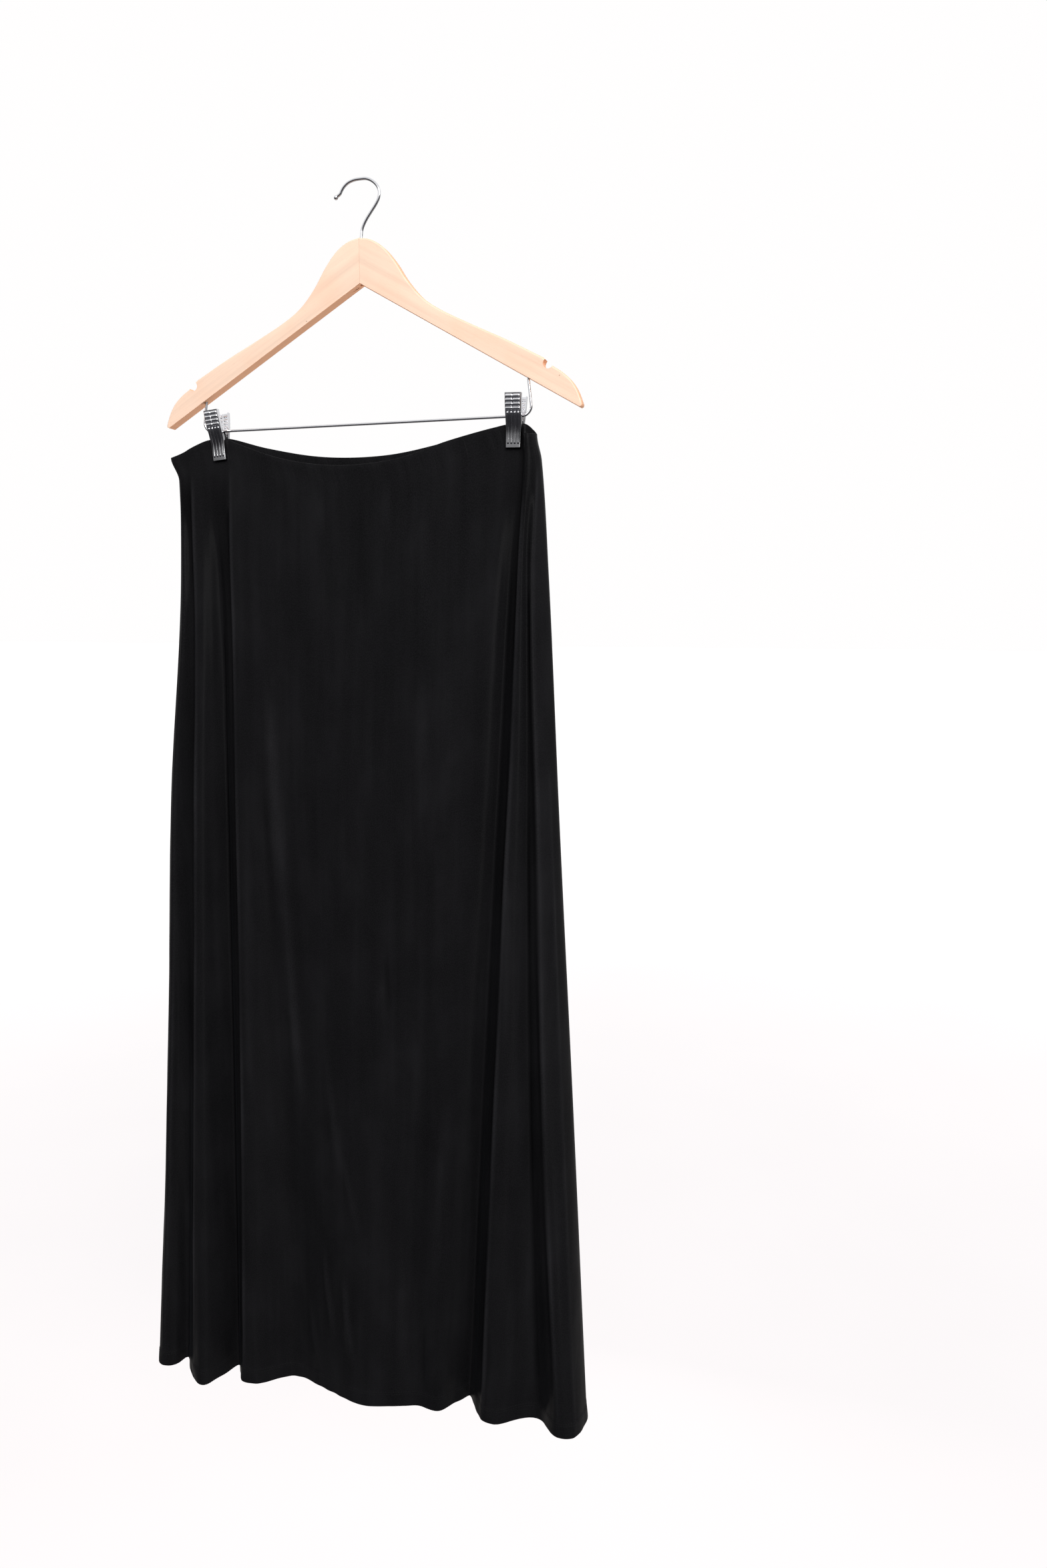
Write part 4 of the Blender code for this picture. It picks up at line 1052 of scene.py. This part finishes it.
def skirt_forms(sizes):
    """The forms of the front and of the back panel."""
    shares = row_shares(sizes)
    lines = np.array([fold_line(row, shares, sizes.casing_depth) for row in FRONT_FOLDS + BACK_FOLDS])
    counts = span_counts(lines, sizes)
    surface = closed_curve(lines, counts)
    normals = outward_normals(surface)
    spans = len(FRONT_FOLDS)
    split = sum(counts[:spans])
    front = np.arange(0, split + 1)
    back = np.arange(split, len(surface) + 1) % len(surface)
    panels = (
        ("skirt_front", front, FRONT_CREASES, FRONT_FOLDS, FRONT_RIDGES, counts[:spans]),
        ("skirt_back", back, BACK_CREASES, BACK_FOLDS, BACK_RIDGES, counts[spans:]),
    )
    return {node: panel_form(surface, normals, *given, sizes) for node, *given in panels}


def stitch_group(sizes):
    """Geometry Nodes: a row of stitches along each line of the input mesh."""
    group = GeometryGroup("hem stitches", (
        ("Spacing", "Float", sizes.stitch_pitch), ("Length", "Float", sizes.stitch_length),
        ("Thread radius", "Float", sizes.thread_radius), ("Thread", "Material", None),
    ))
    source = group.source
    to_curve = group.add("GeometryNodeMeshToCurve")
    spaced = group.add("GeometryNodeResampleCurve", mode="LENGTH")
    bead = group.add("GeometryNodeMeshUVSphere")
    for socket, value in (("Segments", 6), ("Rings", 5), ("Radius", 1.0)):
        bead.inputs[socket].default_value = value
    size = group.add("ShaderNodeCombineXYZ")
    half = group.add("ShaderNodeMath", operation="MULTIPLY")
    half.inputs[1].default_value = 0.5
    tangent = group.add("GeometryNodeInputTangent")
    turn = group.add("FunctionNodeAlignRotationToVector", axis="Z")
    placed = group.add("GeometryNodeInstanceOnPoints")
    group.wire(
        (source, "Geometry", to_curve, "Mesh"), (to_curve, "Curve", spaced, "Curve"),
        (source, "Spacing", spaced, "Length"), (source, "Length", half, 0),
        (source, "Thread radius", size, "X"), (source, "Thread radius", size, "Y"), (half, 0, size, "Z"),
        (tangent, "Tangent", turn, "Vector"), (spaced, "Curve", placed, "Points"),
        (bead, "Mesh", placed, "Instance"), (turn, "Rotation", placed, "Rotation"),
        (size, "Vector", placed, "Scale"),
    )
    return group.hand_out(placed, "Thread", smooth=True)


def hem_rows(form, sizes):
    """Two lines of points on the hem's outer side, where the twin needle sews."""
    picked, facing, wall, _, _, above_hem, _ = form
    rows = []
    for number in range(2):
        height = sizes.hem_depth - 1.2 * MM - number * sizes.needle_gap
        line = []
        for column in range(2, picked.shape[0] - 2):
            heights = above_hem[column][::-1]
            outer = picked[column] + facing[column] * (wall[column] / 2)[:, None]
            line.append([float(np.interp(height, heights, outer[::-1, axis])) for axis in range(3)])
        rows.append(line)
    return rows


def add_hem_stitches(name, form, sizes, group, thread):
    """The twin-needle stitches along one panel's hem, turned into a plain mesh."""
    mesh = bpy.data.meshes.new(name)
    points, edges = [], []
    for line in hem_rows(form, sizes):
        start = len(points)
        points += line
        edges += [(start + step, start + step + 1) for step in range(len(line) - 1)]
    mesh.from_pydata(points, edges, [])
    return group.grown(name, mesh, Spacing=sizes.stitch_pitch, Length=sizes.stitch_length,
                       Thread_radius=sizes.thread_radius, Thread=thread)


def wire_between(name, points, radius_at, sides, material):
    """A round wire along a path in the XZ plane, its radius given by the distance from its start."""
    maker = bmesh.new()
    across = Vector((0.0, 1.0, 0.0))
    rings = []
    travelled = 0.0
    for index, point in enumerate(points):
        ahead = points[min(index + 1, len(points) - 1)]
        behind = points[max(index - 1, 0)]
        travelled += (point - behind).length if index else 0.0
        sideways = (ahead - behind).normalized().cross(across)
        radius = radius_at(travelled)
        ring = []
        for side in range(sides):
            angle = math.tau * side / sides
            outwards = math.cos(angle) * sideways + math.sin(angle) * across
            ring.append(maker.verts.new(point + radius * outwards))
        rings.append(ring)
    skin(maker, rings)
    return object_from(name, maker, material, math.radians(50))


def make_hook(sizes, chrome):
    """The hook: a ball end, a small curl, the round crook, the neck and the straight stem."""
    ball, wire = sizes.ball_radius, sizes.hook_radius
    crook = [(x * MM, 0.0, z * MM) for x, z in HOOK_CROOK]
    start = Vector(crook[0])
    heading = (start - Vector(crook[1])).normalized()
    ball_points = []
    for step in range(BALL_STEPS):
        back = 2.0 - 1.9 * math.sin(step / BALL_STEPS * math.pi / 2)
        ball_points.append(start + heading * ball * back)

    def radius(travelled):
        from_centre = travelled - ball
        if from_centre < ball:
            round_ball = math.sqrt(max(ball ** 2 - from_centre ** 2, (0.1 * ball) ** 2))
            return round_ball if from_centre < 0 else max(round_ball, wire)
        return wire

    path = ball_points + smooth_run(crook, 8) + [Vector((0.0, 0.0, STEM_BOTTOM))]
    return wire_between("hook_wire", path, radius, 20, chrome)


def underside_at(x):
    """The height of the hanger's straight underside."""
    tip_x, tip_z = WOOD_TIP
    return WOOD_APEX + (tip_z - WOOD_APEX) * abs(x) / tip_x


def make_bar(sizes, chrome):
    """The wire bar: two legs up into the wood, round bends and the straight run."""
    left_leg = BAR_CENTRE_X - BAR_HALF_AT_WOOD
    right_leg = BAR_CENTRE_X + BAR_HALF_AT_WOOD
    bend_z = BAR_HEIGHT + BAR_BEND_RADIUS
    path = [Vector((left_leg, 0.0, underside_at(left_leg) + BAR_SOCKET_DEPTH))]
    path.append(Vector((left_leg, 0.0, underside_at(left_leg) - 2.0 * MM)))
    for side in (-1, 1):
        centre = Vector((BAR_CENTRE_X + side * (BAR_HALF_AT_BEND - BAR_BEND_RADIUS), 0.0, bend_z))
        turns = [math.radians(step * 6) for step in range(16)]
        for turn in turns if side < 0 else reversed(turns):
            path.append(centre + BAR_BEND_RADIUS * Vector((side * math.cos(turn), 0.0, -math.sin(turn))))
    path.append(Vector((right_leg, 0.0, underside_at(right_leg) - 2.0 * MM)))
    path.append(Vector((right_leg, 0.0, underside_at(right_leg) + BAR_SOCKET_DEPTH)))
    return wire_between("clip_bar_wire", path, lambda travelled: sizes.bar_radius, 16, chrome)


def arm_outline():
    """The right arm's outline in X and Z: the shoulder and nose, and where the straight underside starts."""
    shoulder, nose = ([(x * MM, 0.0, z * MM) for x, z in run] for run in (ARM_SHOULDER, ARM_NOSE))
    tip_x, tip_z = WOOD_TIP
    upper = smooth_run(shoulder, 8) + smooth_run(nose, 6)
    tip = [Vector((tip_x, 0.0, tip_z + 1.5 * MM)), Vector((tip_x - 0.4 * MM, 0.0, tip_z)),
           Vector((tip_x - 2.6 * MM, 0.0, tip_z - 0.9 * MM))]
    return upper + tip + [Vector((0.0, 0.0, WOOD_APEX))]


def cutter(name, centre, radius, depth, axis, sides):
    """A hidden cylinder that a Boolean cuts with."""
    maker = bmesh.new()
    turn = Matrix.Rotation(math.pi / 2, 4, "X") if axis == "Y" else Matrix()
    bmesh.ops.create_cone(
        maker, cap_ends=True, segments=sides, radius1=radius, radius2=radius, depth=depth,
        matrix=Matrix.Translation(centre) @ turn,
    )
    return loose(name, mesh_from(name, maker))


def cut(target, tools):
    """Cuts the tools out of the target, and removes them."""
    for tool in tools:
        modifier = target.modifiers.new("cut", "BOOLEAN")
        modifier.operation = "DIFFERENCE"
        modifier.object = tool
        modifier.solver = "EXACT"
    applied(target)
    remove(*tools)
    return target


def rim_bevel(maker, edges, radius, segments):
    """Rounds some edges."""
    bmesh.ops.bevel(maker, geom=edges, offset=radius, segments=segments, profile=0.5, affect="EDGES",
                    clamp_overlap=True)


def make_arm(name, side, sizes, wood):
    """One arm, mitred at the middle: rounded above, crisp below, with its notch and the wires' holes."""
    maker = bmesh.new()
    half = sizes.wood_thickness / 2
    inset = 0.06 * MM
    outline = [Vector((side * max(point.x, inset), 0.0, point.z)) for point in arm_outline()]
    front = maker.faces.new([maker.verts.new(point + Vector((0.0, -half, 0.0))) for point in outline])
    grown = bmesh.ops.extrude_face_region(maker, geom=[front])
    moved = [part for part in grown["geom"] if isinstance(part, bmesh.types.BMVert)]
    bmesh.ops.translate(maker, vec=(0.0, sizes.wood_thickness, 0.0), verts=moved)
    bmesh.ops.recalc_face_normals(maker, faces=maker.faces)
    upper, under = [], []
    for edge in maker.edges:
        first, second = (vertex.co for vertex in edge.verts)
        if abs(first.y - second.y) > 0.1 * MM or (abs(first.x) < 1.0 * MM and abs(second.x) < 1.0 * MM):
            continue
        if max(first.z - underside_at(first.x), second.z - underside_at(second.x)) > 0.5 * MM:
            upper.append(edge)
        else:
            under.append(edge)
    rim_bevel(maker, upper, sizes.top_rounding, 5)
    under = [edge for edge in under if edge.is_valid]
    rim_bevel(maker, under, sizes.foot_rounding, 3)
    arm = object_from(name, maker, wood, math.radians(32))
    notch_x, notch_z = NOTCH_CENTRE
    leg_x = BAR_CENTRE_X + side * BAR_HALF_AT_WOOD
    top = underside_at(leg_x) + BAR_SOCKET_DEPTH
    through, stem, leg = 3 * sizes.wood_thickness, sizes.hook_radius + HOLE_PLAY, sizes.bar_radius + HOLE_PLAY
    leg_z = top - BAR_HOLE_LENGTH / 2
    tools = [
        cutter(f"{name}_notch", (side * notch_x, 0.0, notch_z), NOTCH_RADIUS, through, "Y", 48),
        cutter(f"{name}_stem_hole", (0.0, 0.0, STEM_HOLE_MIDDLE), stem, STEM_HOLE_LENGTH, "Z", 32),
        cutter(f"{name}_bar_hole", (leg_x, 0.0, leg_z), leg, BAR_HOLE_LENGTH, "Z", 24),
    ]
    if side < 0:
        tools.append(key_slot())
    return cut(arm, tools)


def key_slot():
    """The slot of the mitre's key, cut along the underside of the left arm."""
    length, width, depth = 7.0 * MM, 1.4 * MM, 3.0 * MM
    middle_x = -6.5 * MM
    tip_x, tip_z = WOOD_TIP
    slope = math.atan2(WOOD_APEX - tip_z, tip_x)
    maker = bmesh.new()
    bmesh.ops.create_cube(maker, size=1.0)
    bmesh.ops.scale(maker, vec=(length, width, 2 * depth), verts=maker.verts)
    place = Matrix.Translation((middle_x, 1.2 * MM, underside_at(middle_x))) @ Matrix.Rotation(-slope, 4, "Y")
    bmesh.ops.transform(maker, matrix=place, verts=maker.verts)
    return loose("key_slot", mesh_from("key_slot", maker))


def jaw_profile(steps):
    """The bent jaw's middle line from its top to its foot: distance from the clip's middle, and height."""
    bends = [(0.0, y * MM, z * MM) for y, z in JAW_BENDS]
    return [(point.y, point.z) for point in smooth_run(bends, steps)]


def out_at(profile, height):
    """How far the jaw's middle line stands from the clip's middle at a height."""
    heights = [z for _, z in reversed(profile)]
    outs = [y for y, _ in reversed(profile)]
    return float(np.interp(height, heights, outs))


def strip_along(maker, profile, heights, section, sizes):
    """A closed strip that follows the jaw's profile at the given heights.

    section(share) gives its corners, each as a place to the side and a lift.
    """
    rings = []
    for number, z in enumerate(heights):
        y = out_at(profile, z)
        ahead, behind = out_at(profile, z - 0.5 * MM), out_at(profile, z + 0.5 * MM)
        run = Vector((0.0, ahead - behind, -1.0 * MM)).normalized()
        outwards = Vector((0.0, -run.z, run.y))
        share = (profile[0][1] - z) / (profile[0][1] - profile[-1][1])
        width = 1.0 + (sizes.foot_width / sizes.top_width - 1.0) * share
        ring = []
        for x, lift in section(number / (len(heights) - 1)):
            reach = max(lift, JAW_CLEAR - y)
            ring.append(maker.verts.new(Vector((x * width, y, z)) + outwards * reach))
        rings.append(ring)
    skin(maker, rings)


def channel_section(sizes):
    """The jaw's bent sheet in section, its outer corners rounded."""
    half, outside = sizes.top_width / 2, sizes.sheet / 2
    lip, deep = half - sizes.sheet, outside - sizes.flange
    corners = []
    for side in (-1, 1):
        turns = [math.radians(90 * step / 4) for step in range(5)]
        for turn in turns if side < 0 else reversed(turns):
            corners.append((side * (half - JAW_CORNER + JAW_CORNER * math.cos(turn)),
                            outside - JAW_CORNER + JAW_CORNER * math.sin(turn)))
    corners += [(half, deep), (lip, deep), (lip, -outside), (-lip, -outside), (-lip, deep), (-half, deep)]
    return corners


def grip_group():
    """Geometry Nodes: a rounded bar at each point of the input mesh, turned by its 'turn' attribute."""
    group = GeometryGroup("grip bars", (("Size", "Vector", None), ("Metal", "Material", None)))
    cube = group.add("GeometryNodeMeshCube")
    for socket, count in (("Vertices X", 5), ("Vertices Y", 2), ("Vertices Z", 2)):
        cube.inputs[socket].default_value = count
    rounded = group.add("GeometryNodeSubdivisionSurface")
    rounded.inputs["Level"].default_value = 2
    turn = group.add("GeometryNodeInputNamedAttribute", data_type="FLOAT_VECTOR")
    turn.inputs["Name"].default_value = "turn"
    to_turn = group.add("FunctionNodeEulerToRotation")
    placed = group.add("GeometryNodeInstanceOnPoints")
    group.wire(
        (group.source, "Size", cube, "Size"), (cube, "Mesh", rounded, "Mesh"),
        (turn, "Attribute", to_turn, "Euler"), (group.source, "Geometry", placed, "Points"),
        (rounded, "Mesh", placed, "Instance"), (to_turn, "Rotation", placed, "Rotation"),
    )
    return group.hand_out(placed, "Metal")


def grip_bars(name, profile, place, lift, size, group, chrome):
    """The rows of raised finger bars near a jaw's top, turned into a plain mesh in place."""
    points, turns = [], []
    for row in range(GRIP_ROWS):
        height = GRIP_TOP - GRIP_PITCH * row
        slope = math.atan2(out_at(profile, height + 1 * MM) - out_at(profile, height - 1 * MM), 2 * MM)
        for column in (-1, 1):
            points.append((column * GRIP_PITCH, out_at(profile, height) + lift, height))
            turns += (-slope, 0.0, 0.0)
    mesh = bpy.data.meshes.new(name)
    mesh.from_pydata(points, [], [])
    mesh.attributes.new("turn", "FLOAT_VECTOR", "POINT").data.foreach_set("vector", turns)
    bars = group.grown(name, mesh, Size=size, Metal=chrome)
    bars.data.transform(place)
    return bars


def make_jaw(name, place, sizes, group, chrome):
    """A stamped jaw: rounded channel, raised bars above, four ribs below and hollows on its inside."""
    profile = jaw_profile(8)
    top, foot = profile[0][1], profile[-1][1]
    section = channel_section(sizes)
    maker = bmesh.new()
    heights = [top + (foot - top) * step / JAW_ROWS for step in range(JAW_ROWS + 1)]
    strip_along(maker, profile, heights, lambda share: section, sizes)
    bmesh.ops.transform(maker, matrix=place, verts=maker.verts)
    shell = object_from(f"{name}_shell", maker, chrome, math.radians(35))
    hollow = (6.4 * MM, 1.2 * MM, 2.6 * MM)
    hollows = grip_bars(f"{name}_hollows", profile, place, -sizes.sheet / 2, hollow, group, chrome)
    cut(shell, [hollows])
    maker = bmesh.new()
    sheet_side = sizes.sheet / 2
    drop = RIB_FOOT - RIB_TOP
    shares = [0.5 - 0.5 * math.cos(math.pi * step / RIB_ROWS) for step in range(RIB_ROWS + 1)]
    levels = [RIB_TOP + drop * share for share in shares]
    for number in range(4):
        middle = (number - 1.5) * GRIP_PITCH

        def rib(share, middle=middle):
            level = levels[round(share * RIB_ROWS)]
            from_top, from_foot = levels[0] - level, level - levels[-1]
            dome = 1 - min(min(from_top, from_foot) / RIB_ENDING, 1.0)
            swell = math.sqrt(max(1 - dome ** 2, 0.0))
            knob = 1.0 + 0.5 * max(1 - from_top / RIB_KNOB, 0.0)
            rise, half = sizes.relief * swell * knob, RIB_HALF_WIDTH * (0.35 + 0.65 * swell)
            turns = [math.radians(turn) for turn in range(0, 181, 30)]
            arc = [(middle + half * math.cos(turn), sheet_side + rise * math.sin(turn)) for turn in turns]
            return [(middle + half, 0.0)] + arc + [(middle - half, 0.0)]

        strip_along(maker, profile, levels, rib, sizes)
    bmesh.ops.transform(maker, matrix=place, verts=maker.verts)
    ribs = object_from(f"{name}_ribs", maker, chrome, math.radians(60))
    bar = (7.6 * MM, 3.2 * sizes.relief, 3.9 * MM)
    bars = grip_bars(f"{name}_bars", profile, place, sheet_side + 0.1 * MM, bar, group, chrome)
    return joined(name, [shell, ribs, bars], chrome, math.radians(38))


def make_pad(name, place, rubber):
    """The rubber block inside a jaw, with rounded edges."""
    maker = bmesh.new()
    bmesh.ops.create_cube(maker, size=1.0)
    bmesh.ops.scale(maker, vec=PAD_SIZE, verts=maker.verts)
    bmesh.ops.translate(maker, vec=PAD_PLACE, verts=maker.verts)
    bmesh.ops.bevel(maker, geom=maker.edges[:], offset=PAD_ROUNDING, segments=3, profile=0.5, affect="EDGES")
    bmesh.ops.transform(maker, matrix=place, verts=maker.verts)
    return object_from(name, maker, rubber, math.radians(50))


def make_spring(name, place, sizes, chrome):
    """The strip spring that hangs round the bar, its edges softened."""
    maker = bmesh.new()
    outer, half, soft = sizes.ring_radius, SPRING_HALF_WIDTH, SPRING_EDGE
    inner = outer - SPRING_SHEET
    drop = inner - BAR_WIRE_RADIUS - SPRING_PLAY
    section = [(-half, inner + soft), (-half + soft, inner), (half - soft, inner), (half, inner + soft),
               (half, outer - soft), (half - soft, outer), (-half + soft, outer), (-half, outer - soft)]
    rings = []
    for step in range(SPRING_STEPS + 1):
        angle = math.radians(SPRING_START + SPRING_SWEEP * step / SPRING_STEPS)
        away, up = math.cos(angle), math.sin(angle)
        rings.append([maker.verts.new((x, radius * away, radius * up - drop)) for x, radius in section])
    skin(maker, rings)
    bmesh.ops.transform(maker, matrix=place, verts=maker.verts)
    return object_from(name, maker, chrome, math.radians(35))


class SKIRT_OT_cloth(bpy.types.Operator):
    """Builds the skirt's front and back panels as thin shells with their folds and creases"""
    bl_idname = "skirt.build_cloth"
    bl_label = "Build the cloth"

    def execute(self, context):
        sizes = context.scene.skirt_sizes
        knit = knit_material(sizes)
        for node, form in skirt_forms(sizes).items():
            panel = mesh_object(f"{node}_cloth", panel_mesh(node, form), knit)
            settle(panel, "knit", node)
        return {"FINISHED"}


class SKIRT_OT_hem_stitches(bpy.types.Operator):
    """Sews the two rows of twin-needle stitches along the hem"""
    bl_idname = "skirt.sew_hem"
    bl_label = "Sew the hem"

    def execute(self, context):
        sizes = context.scene.skirt_sizes
        thread = thread_material(sizes)
        group = stitch_group(sizes)
        for node, form in skirt_forms(sizes).items():
            stitches = add_hem_stitches(f"{node}_hem_stitches", form, sizes, group, thread)
            if not stitches.data.polygons:
                raise RuntimeError("the hem stitches came out empty")
            settle(stitches, "knit")
        return {"FINISHED"}


class HANGER_OT_wood(bpy.types.Operator):
    """Builds the hanger's two wooden arms"""
    bl_idname = "hanger.build_wood"
    bl_label = "Build the wooden arms"

    def execute(self, context):
        sizes = context.scene.hanger_sizes
        for node, side in (("hanger_arm_left", -1), ("hanger_arm_right", 1)):
            arm = make_arm(f"{node}_wood", side, sizes, wood_material(sizes, side))
            if len(arm.data.polygons) < 100:
                raise RuntimeError(f"{node} was lost in its cuts")
            settle(arm, "wood", node)
        return {"FINISHED"}


class HANGER_OT_wires(bpy.types.Operator):
    """Builds the hook and the wire bar"""
    bl_idname = "hanger.build_wires"
    bl_label = "Build the hook and the bar"

    def execute(self, context):
        sizes = context.scene.hanger_sizes
        chrome = chrome_material("chromed wire", 0.10, (0.74, 0.74, 0.76))
        settle(make_hook(sizes, chrome), "chrome", "hook")
        settle(make_bar(sizes, chrome), "chrome", "clip_bar")
        return {"FINISHED"}


class HANGER_OT_clips(bpy.types.Operator):
    """Builds the two clips: jaws, rubber pads and springs"""
    bl_idname = "hanger.build_clips"
    bl_label = "Build the clips"

    def execute(self, context):
        sizes = context.scene.clip_sizes
        # the clips' metal gets a painted dark reflection below the bar
        chrome = chrome_material("chromed sheet", 0.12, (0.78, 0.78, 0.80), BAR_HEIGHT + 4 * MM)
        rubber = rubber_material()
        group = grip_group()
        for clip in CLIPS:
            name = f"clip_{clip['name']}"
            at_bar = Matrix.Translation((clip["x"], 0.0, BAR_HEIGHT)) @ Matrix.Rotation(clip["lean"], 4, "Y")
            for face, turn in (("back", 0.0), ("front", math.pi)):
                place = at_bar @ Matrix.Rotation(turn, 4, "Z")
                node = f"{name}_{face}_jaw"
                settle(make_jaw(f"{node}_stamped", place, sizes, group, chrome), "chrome", node)
                node = f"{name}_{face}_pad"
                settle(make_pad(f"{node}_moulded", place, rubber), "rubber", node)
            node = f"{name}_spring"
            settle(make_spring(f"{node}_strip", at_bar, sizes, chrome), "chrome", node)
        return {"FINISHED"}


class STUDIO_OT_stage(bpy.types.Operator):
    """Sets the camera, the pale floor and the soft light"""
    bl_idname = "studio.build_stage"
    bl_label = "Build the studio"

    def execute(self, context):
        sizes = context.scene.studio_sizes
        add_camera(context.scene, sizes)
        add_floor(sizes)
        for name, power in zip(LAMPS, (sizes.key_power, sizes.fill_power, sizes.side_power)):
            add_area(name, power, *LAMPS[name])
        bpy.data.objects["back light"].visible_glossy = False
        add_room_light(context.scene, sizes)
        context.scene.view_settings.view_transform = "Standard"
        context.scene.view_settings.look = "None"
        context.scene.view_settings.exposure = 0.0
        return {"FINISHED"}


def add_camera(scene, sizes):
    """The camera, where the picture was taken from."""
    camera = bpy.data.cameras.new("photo camera")
    camera.lens = sizes.lens
    camera.sensor_width = 36.0
    camera.sensor_fit = "AUTO"
    camera.dof.use_dof = False
    camera.clip_end = 200.0
    turned = Matrix.Rotation(sizes.camera_turn, 4, "Z")
    tipped = Matrix.Rotation(math.pi / 2 + sizes.camera_pitch, 4, "X")
    rolled = Matrix.Rotation(sizes.camera_roll, 4, "Z")
    thing = loose("photo camera", camera)
    thing.matrix_world = Matrix.Translation(sizes.camera_place) @ turned @ tipped @ rolled
    scene.camera = thing


def add_floor(sizes):
    """A plain pale floor with painted shade near the piece, so wide that its edge melts into the air. It
    lights nothing itself.
    """
    maker = bmesh.new()
    bmesh.ops.create_grid(maker, x_segments=1, y_segments=1, size=FLOOR_HALF_SIZE)
    bmesh.ops.translate(maker, vec=(0.0, 0.0, sizes.floor_height), verts=maker.verts)
    paper = Shader("pale studio floor")
    paper.paint(Base_Color=paper.ramp(paper.pattern((2, 2, 2)), FLOOR_COLOURS))
    away = paper.add("ShaderNodeVectorMath", operation="LENGTH")
    paper.link(paper.coordinates(place=(0.0, 0.0, -sizes.floor_height)), away.inputs[0])
    # the floor's glow is darker near the piece: painted shade
    glow = paper.ranged(away.outputs["Value"], 1.0, 7.0, 0.0, 1.0)
    paper.paint(Emission_Color=paper.mix(glow, (0.80, 0.775, 0.78), (0.97, 0.955, 0.955)))
    paper.constant(Roughness=0.9, Specular_IOR_Level=0.1, Emission_Strength=1.0)
    floor = object_from("studio_floor", maker, paper.material)
    floor.visible_diffuse = False
    floor.visible_glossy = False


def add_area(name, power, place, target, size, colour):
    """A square soft light that the camera doesn't see."""
    lamp = bpy.data.lights.new(name, "AREA")
    lamp.shape = "SQUARE"
    lamp.size = size
    lamp.energy = power
    lamp.color = colour
    thing = loose(name, lamp)
    thing.location = place
    thing.rotation_euler = (Vector(target) - Vector(place)).to_track_quat("-Z", "Y").to_euler()
    thing.visible_camera = False


def add_room_light(scene, sizes):
    """Soft light from all round: pale behind, above and below, dark in front, and seen as plain white."""
    world = bpy.data.worlds.new("studio air")
    world.use_nodes = True
    scene.world = world
    world.node_tree.nodes.clear()
    air = Nodes(world.node_tree)
    way = air.add("ShaderNodeSeparateXYZ")
    air.link(air.add("ShaderNodeTexCoord").outputs["Generated"], way.inputs[0])
    backwards = air.ranged(way.outputs["Y"], -0.20, 0.45, 0.0, 1.0)
    upwards = air.ranged(way.outputs["Z"], 0.02, 0.28, 0.0, 1.0)
    downwards = air.ranged(way.outputs["Z"], -0.05, -0.85, 0.0, 0.85)
    room = air.mix(backwards, sizes.front_colour, sizes.back_colour)
    room = air.mix(upwards, room, sizes.ceiling_colour)
    beyond = air.ranged(way.outputs["Y"], -0.20, 0.20, 0.0, 1.0)
    ground = air.mix(beyond, shade_of(tuple(sizes.front_colour), 1.6), sizes.ground_colour)
    room = air.mix(downwards, room, ground)
    lit = air.add("ShaderNodeBackground")
    air.link(room, lit.inputs["Color"])
    lit.inputs["Strength"].default_value = sizes.air_light
    seen = air.add("ShaderNodeBackground")
    seen.inputs["Color"].default_value = (1.0, 0.992, 0.992, 1.0)
    chosen = air.add("ShaderNodeMixShader")
    air.link(air.add("ShaderNodeLightPath").outputs["Is Camera Ray"], chosen.inputs[0])
    air.link(lit.outputs[0], chosen.inputs[1])
    air.link(seen.outputs[0], chosen.inputs[2])
    air.link(chosen.outputs[0], air.add("ShaderNodeOutputWorld").inputs["Surface"])


class SKIRT_PT_sidebar(bpy.types.Panel):
    """Lists the steps and their sizes"""
    bl_idname = "SKIRT_PT_sidebar"
    bl_label = "Skirt on a hanger"
    bl_space_type = "VIEW_3D"
    bl_region_type = "UI"
    bl_category = "Skirt"

    def draw(self, context):
        for operator, group in STEPS:
            box = self.layout.box()
            box.operator(operator.bl_idname)
            sizes = getattr(context.scene, group)
            for name in sizes.bl_rna.properties.keys():
                if name not in ("rna_type", "name"):
                    box.prop(sizes, name)


STEPS = (
    (SKIRT_OT_cloth, "skirt_sizes"),
    (SKIRT_OT_hem_stitches, "skirt_sizes"),
    (HANGER_OT_wood, "hanger_sizes"),
    (HANGER_OT_wires, "hanger_sizes"),
    (HANGER_OT_clips, "clip_sizes"),
    (STUDIO_OT_stage, "studio_sizes"),
)
GROUPS = {
    "skirt_sizes": SkirtSizes, "hanger_sizes": HangerSizes,
    "clip_sizes": ClipSizes, "studio_sizes": StudioSizes,
}


def register():
    for name, group in GROUPS.items():
        bpy.utils.register_class(group)
        setattr(bpy.types.Scene, name, PointerProperty(type=group))
    for operator, _ in STEPS:
        bpy.utils.register_class(operator)
    bpy.utils.register_class(SKIRT_PT_sidebar)


def unregister():
    bpy.utils.unregister_class(SKIRT_PT_sidebar)
    for operator, _ in reversed(STEPS):
        bpy.utils.unregister_class(operator)
    for name, group in GROUPS.items():
        delattr(bpy.types.Scene, name)
        bpy.utils.unregister_class(group)


def main():
    register()
    bpy.ops.studio.build_stage()
    bpy.ops.skirt.build_cloth()
    bpy.ops.skirt.sew_hem()
    bpy.ops.hanger.build_wood()
    bpy.ops.hanger.build_wires()
    bpy.ops.hanger.build_clips()
    bpy.context.view_layer.update()


if __name__ == "__main__":
    main()
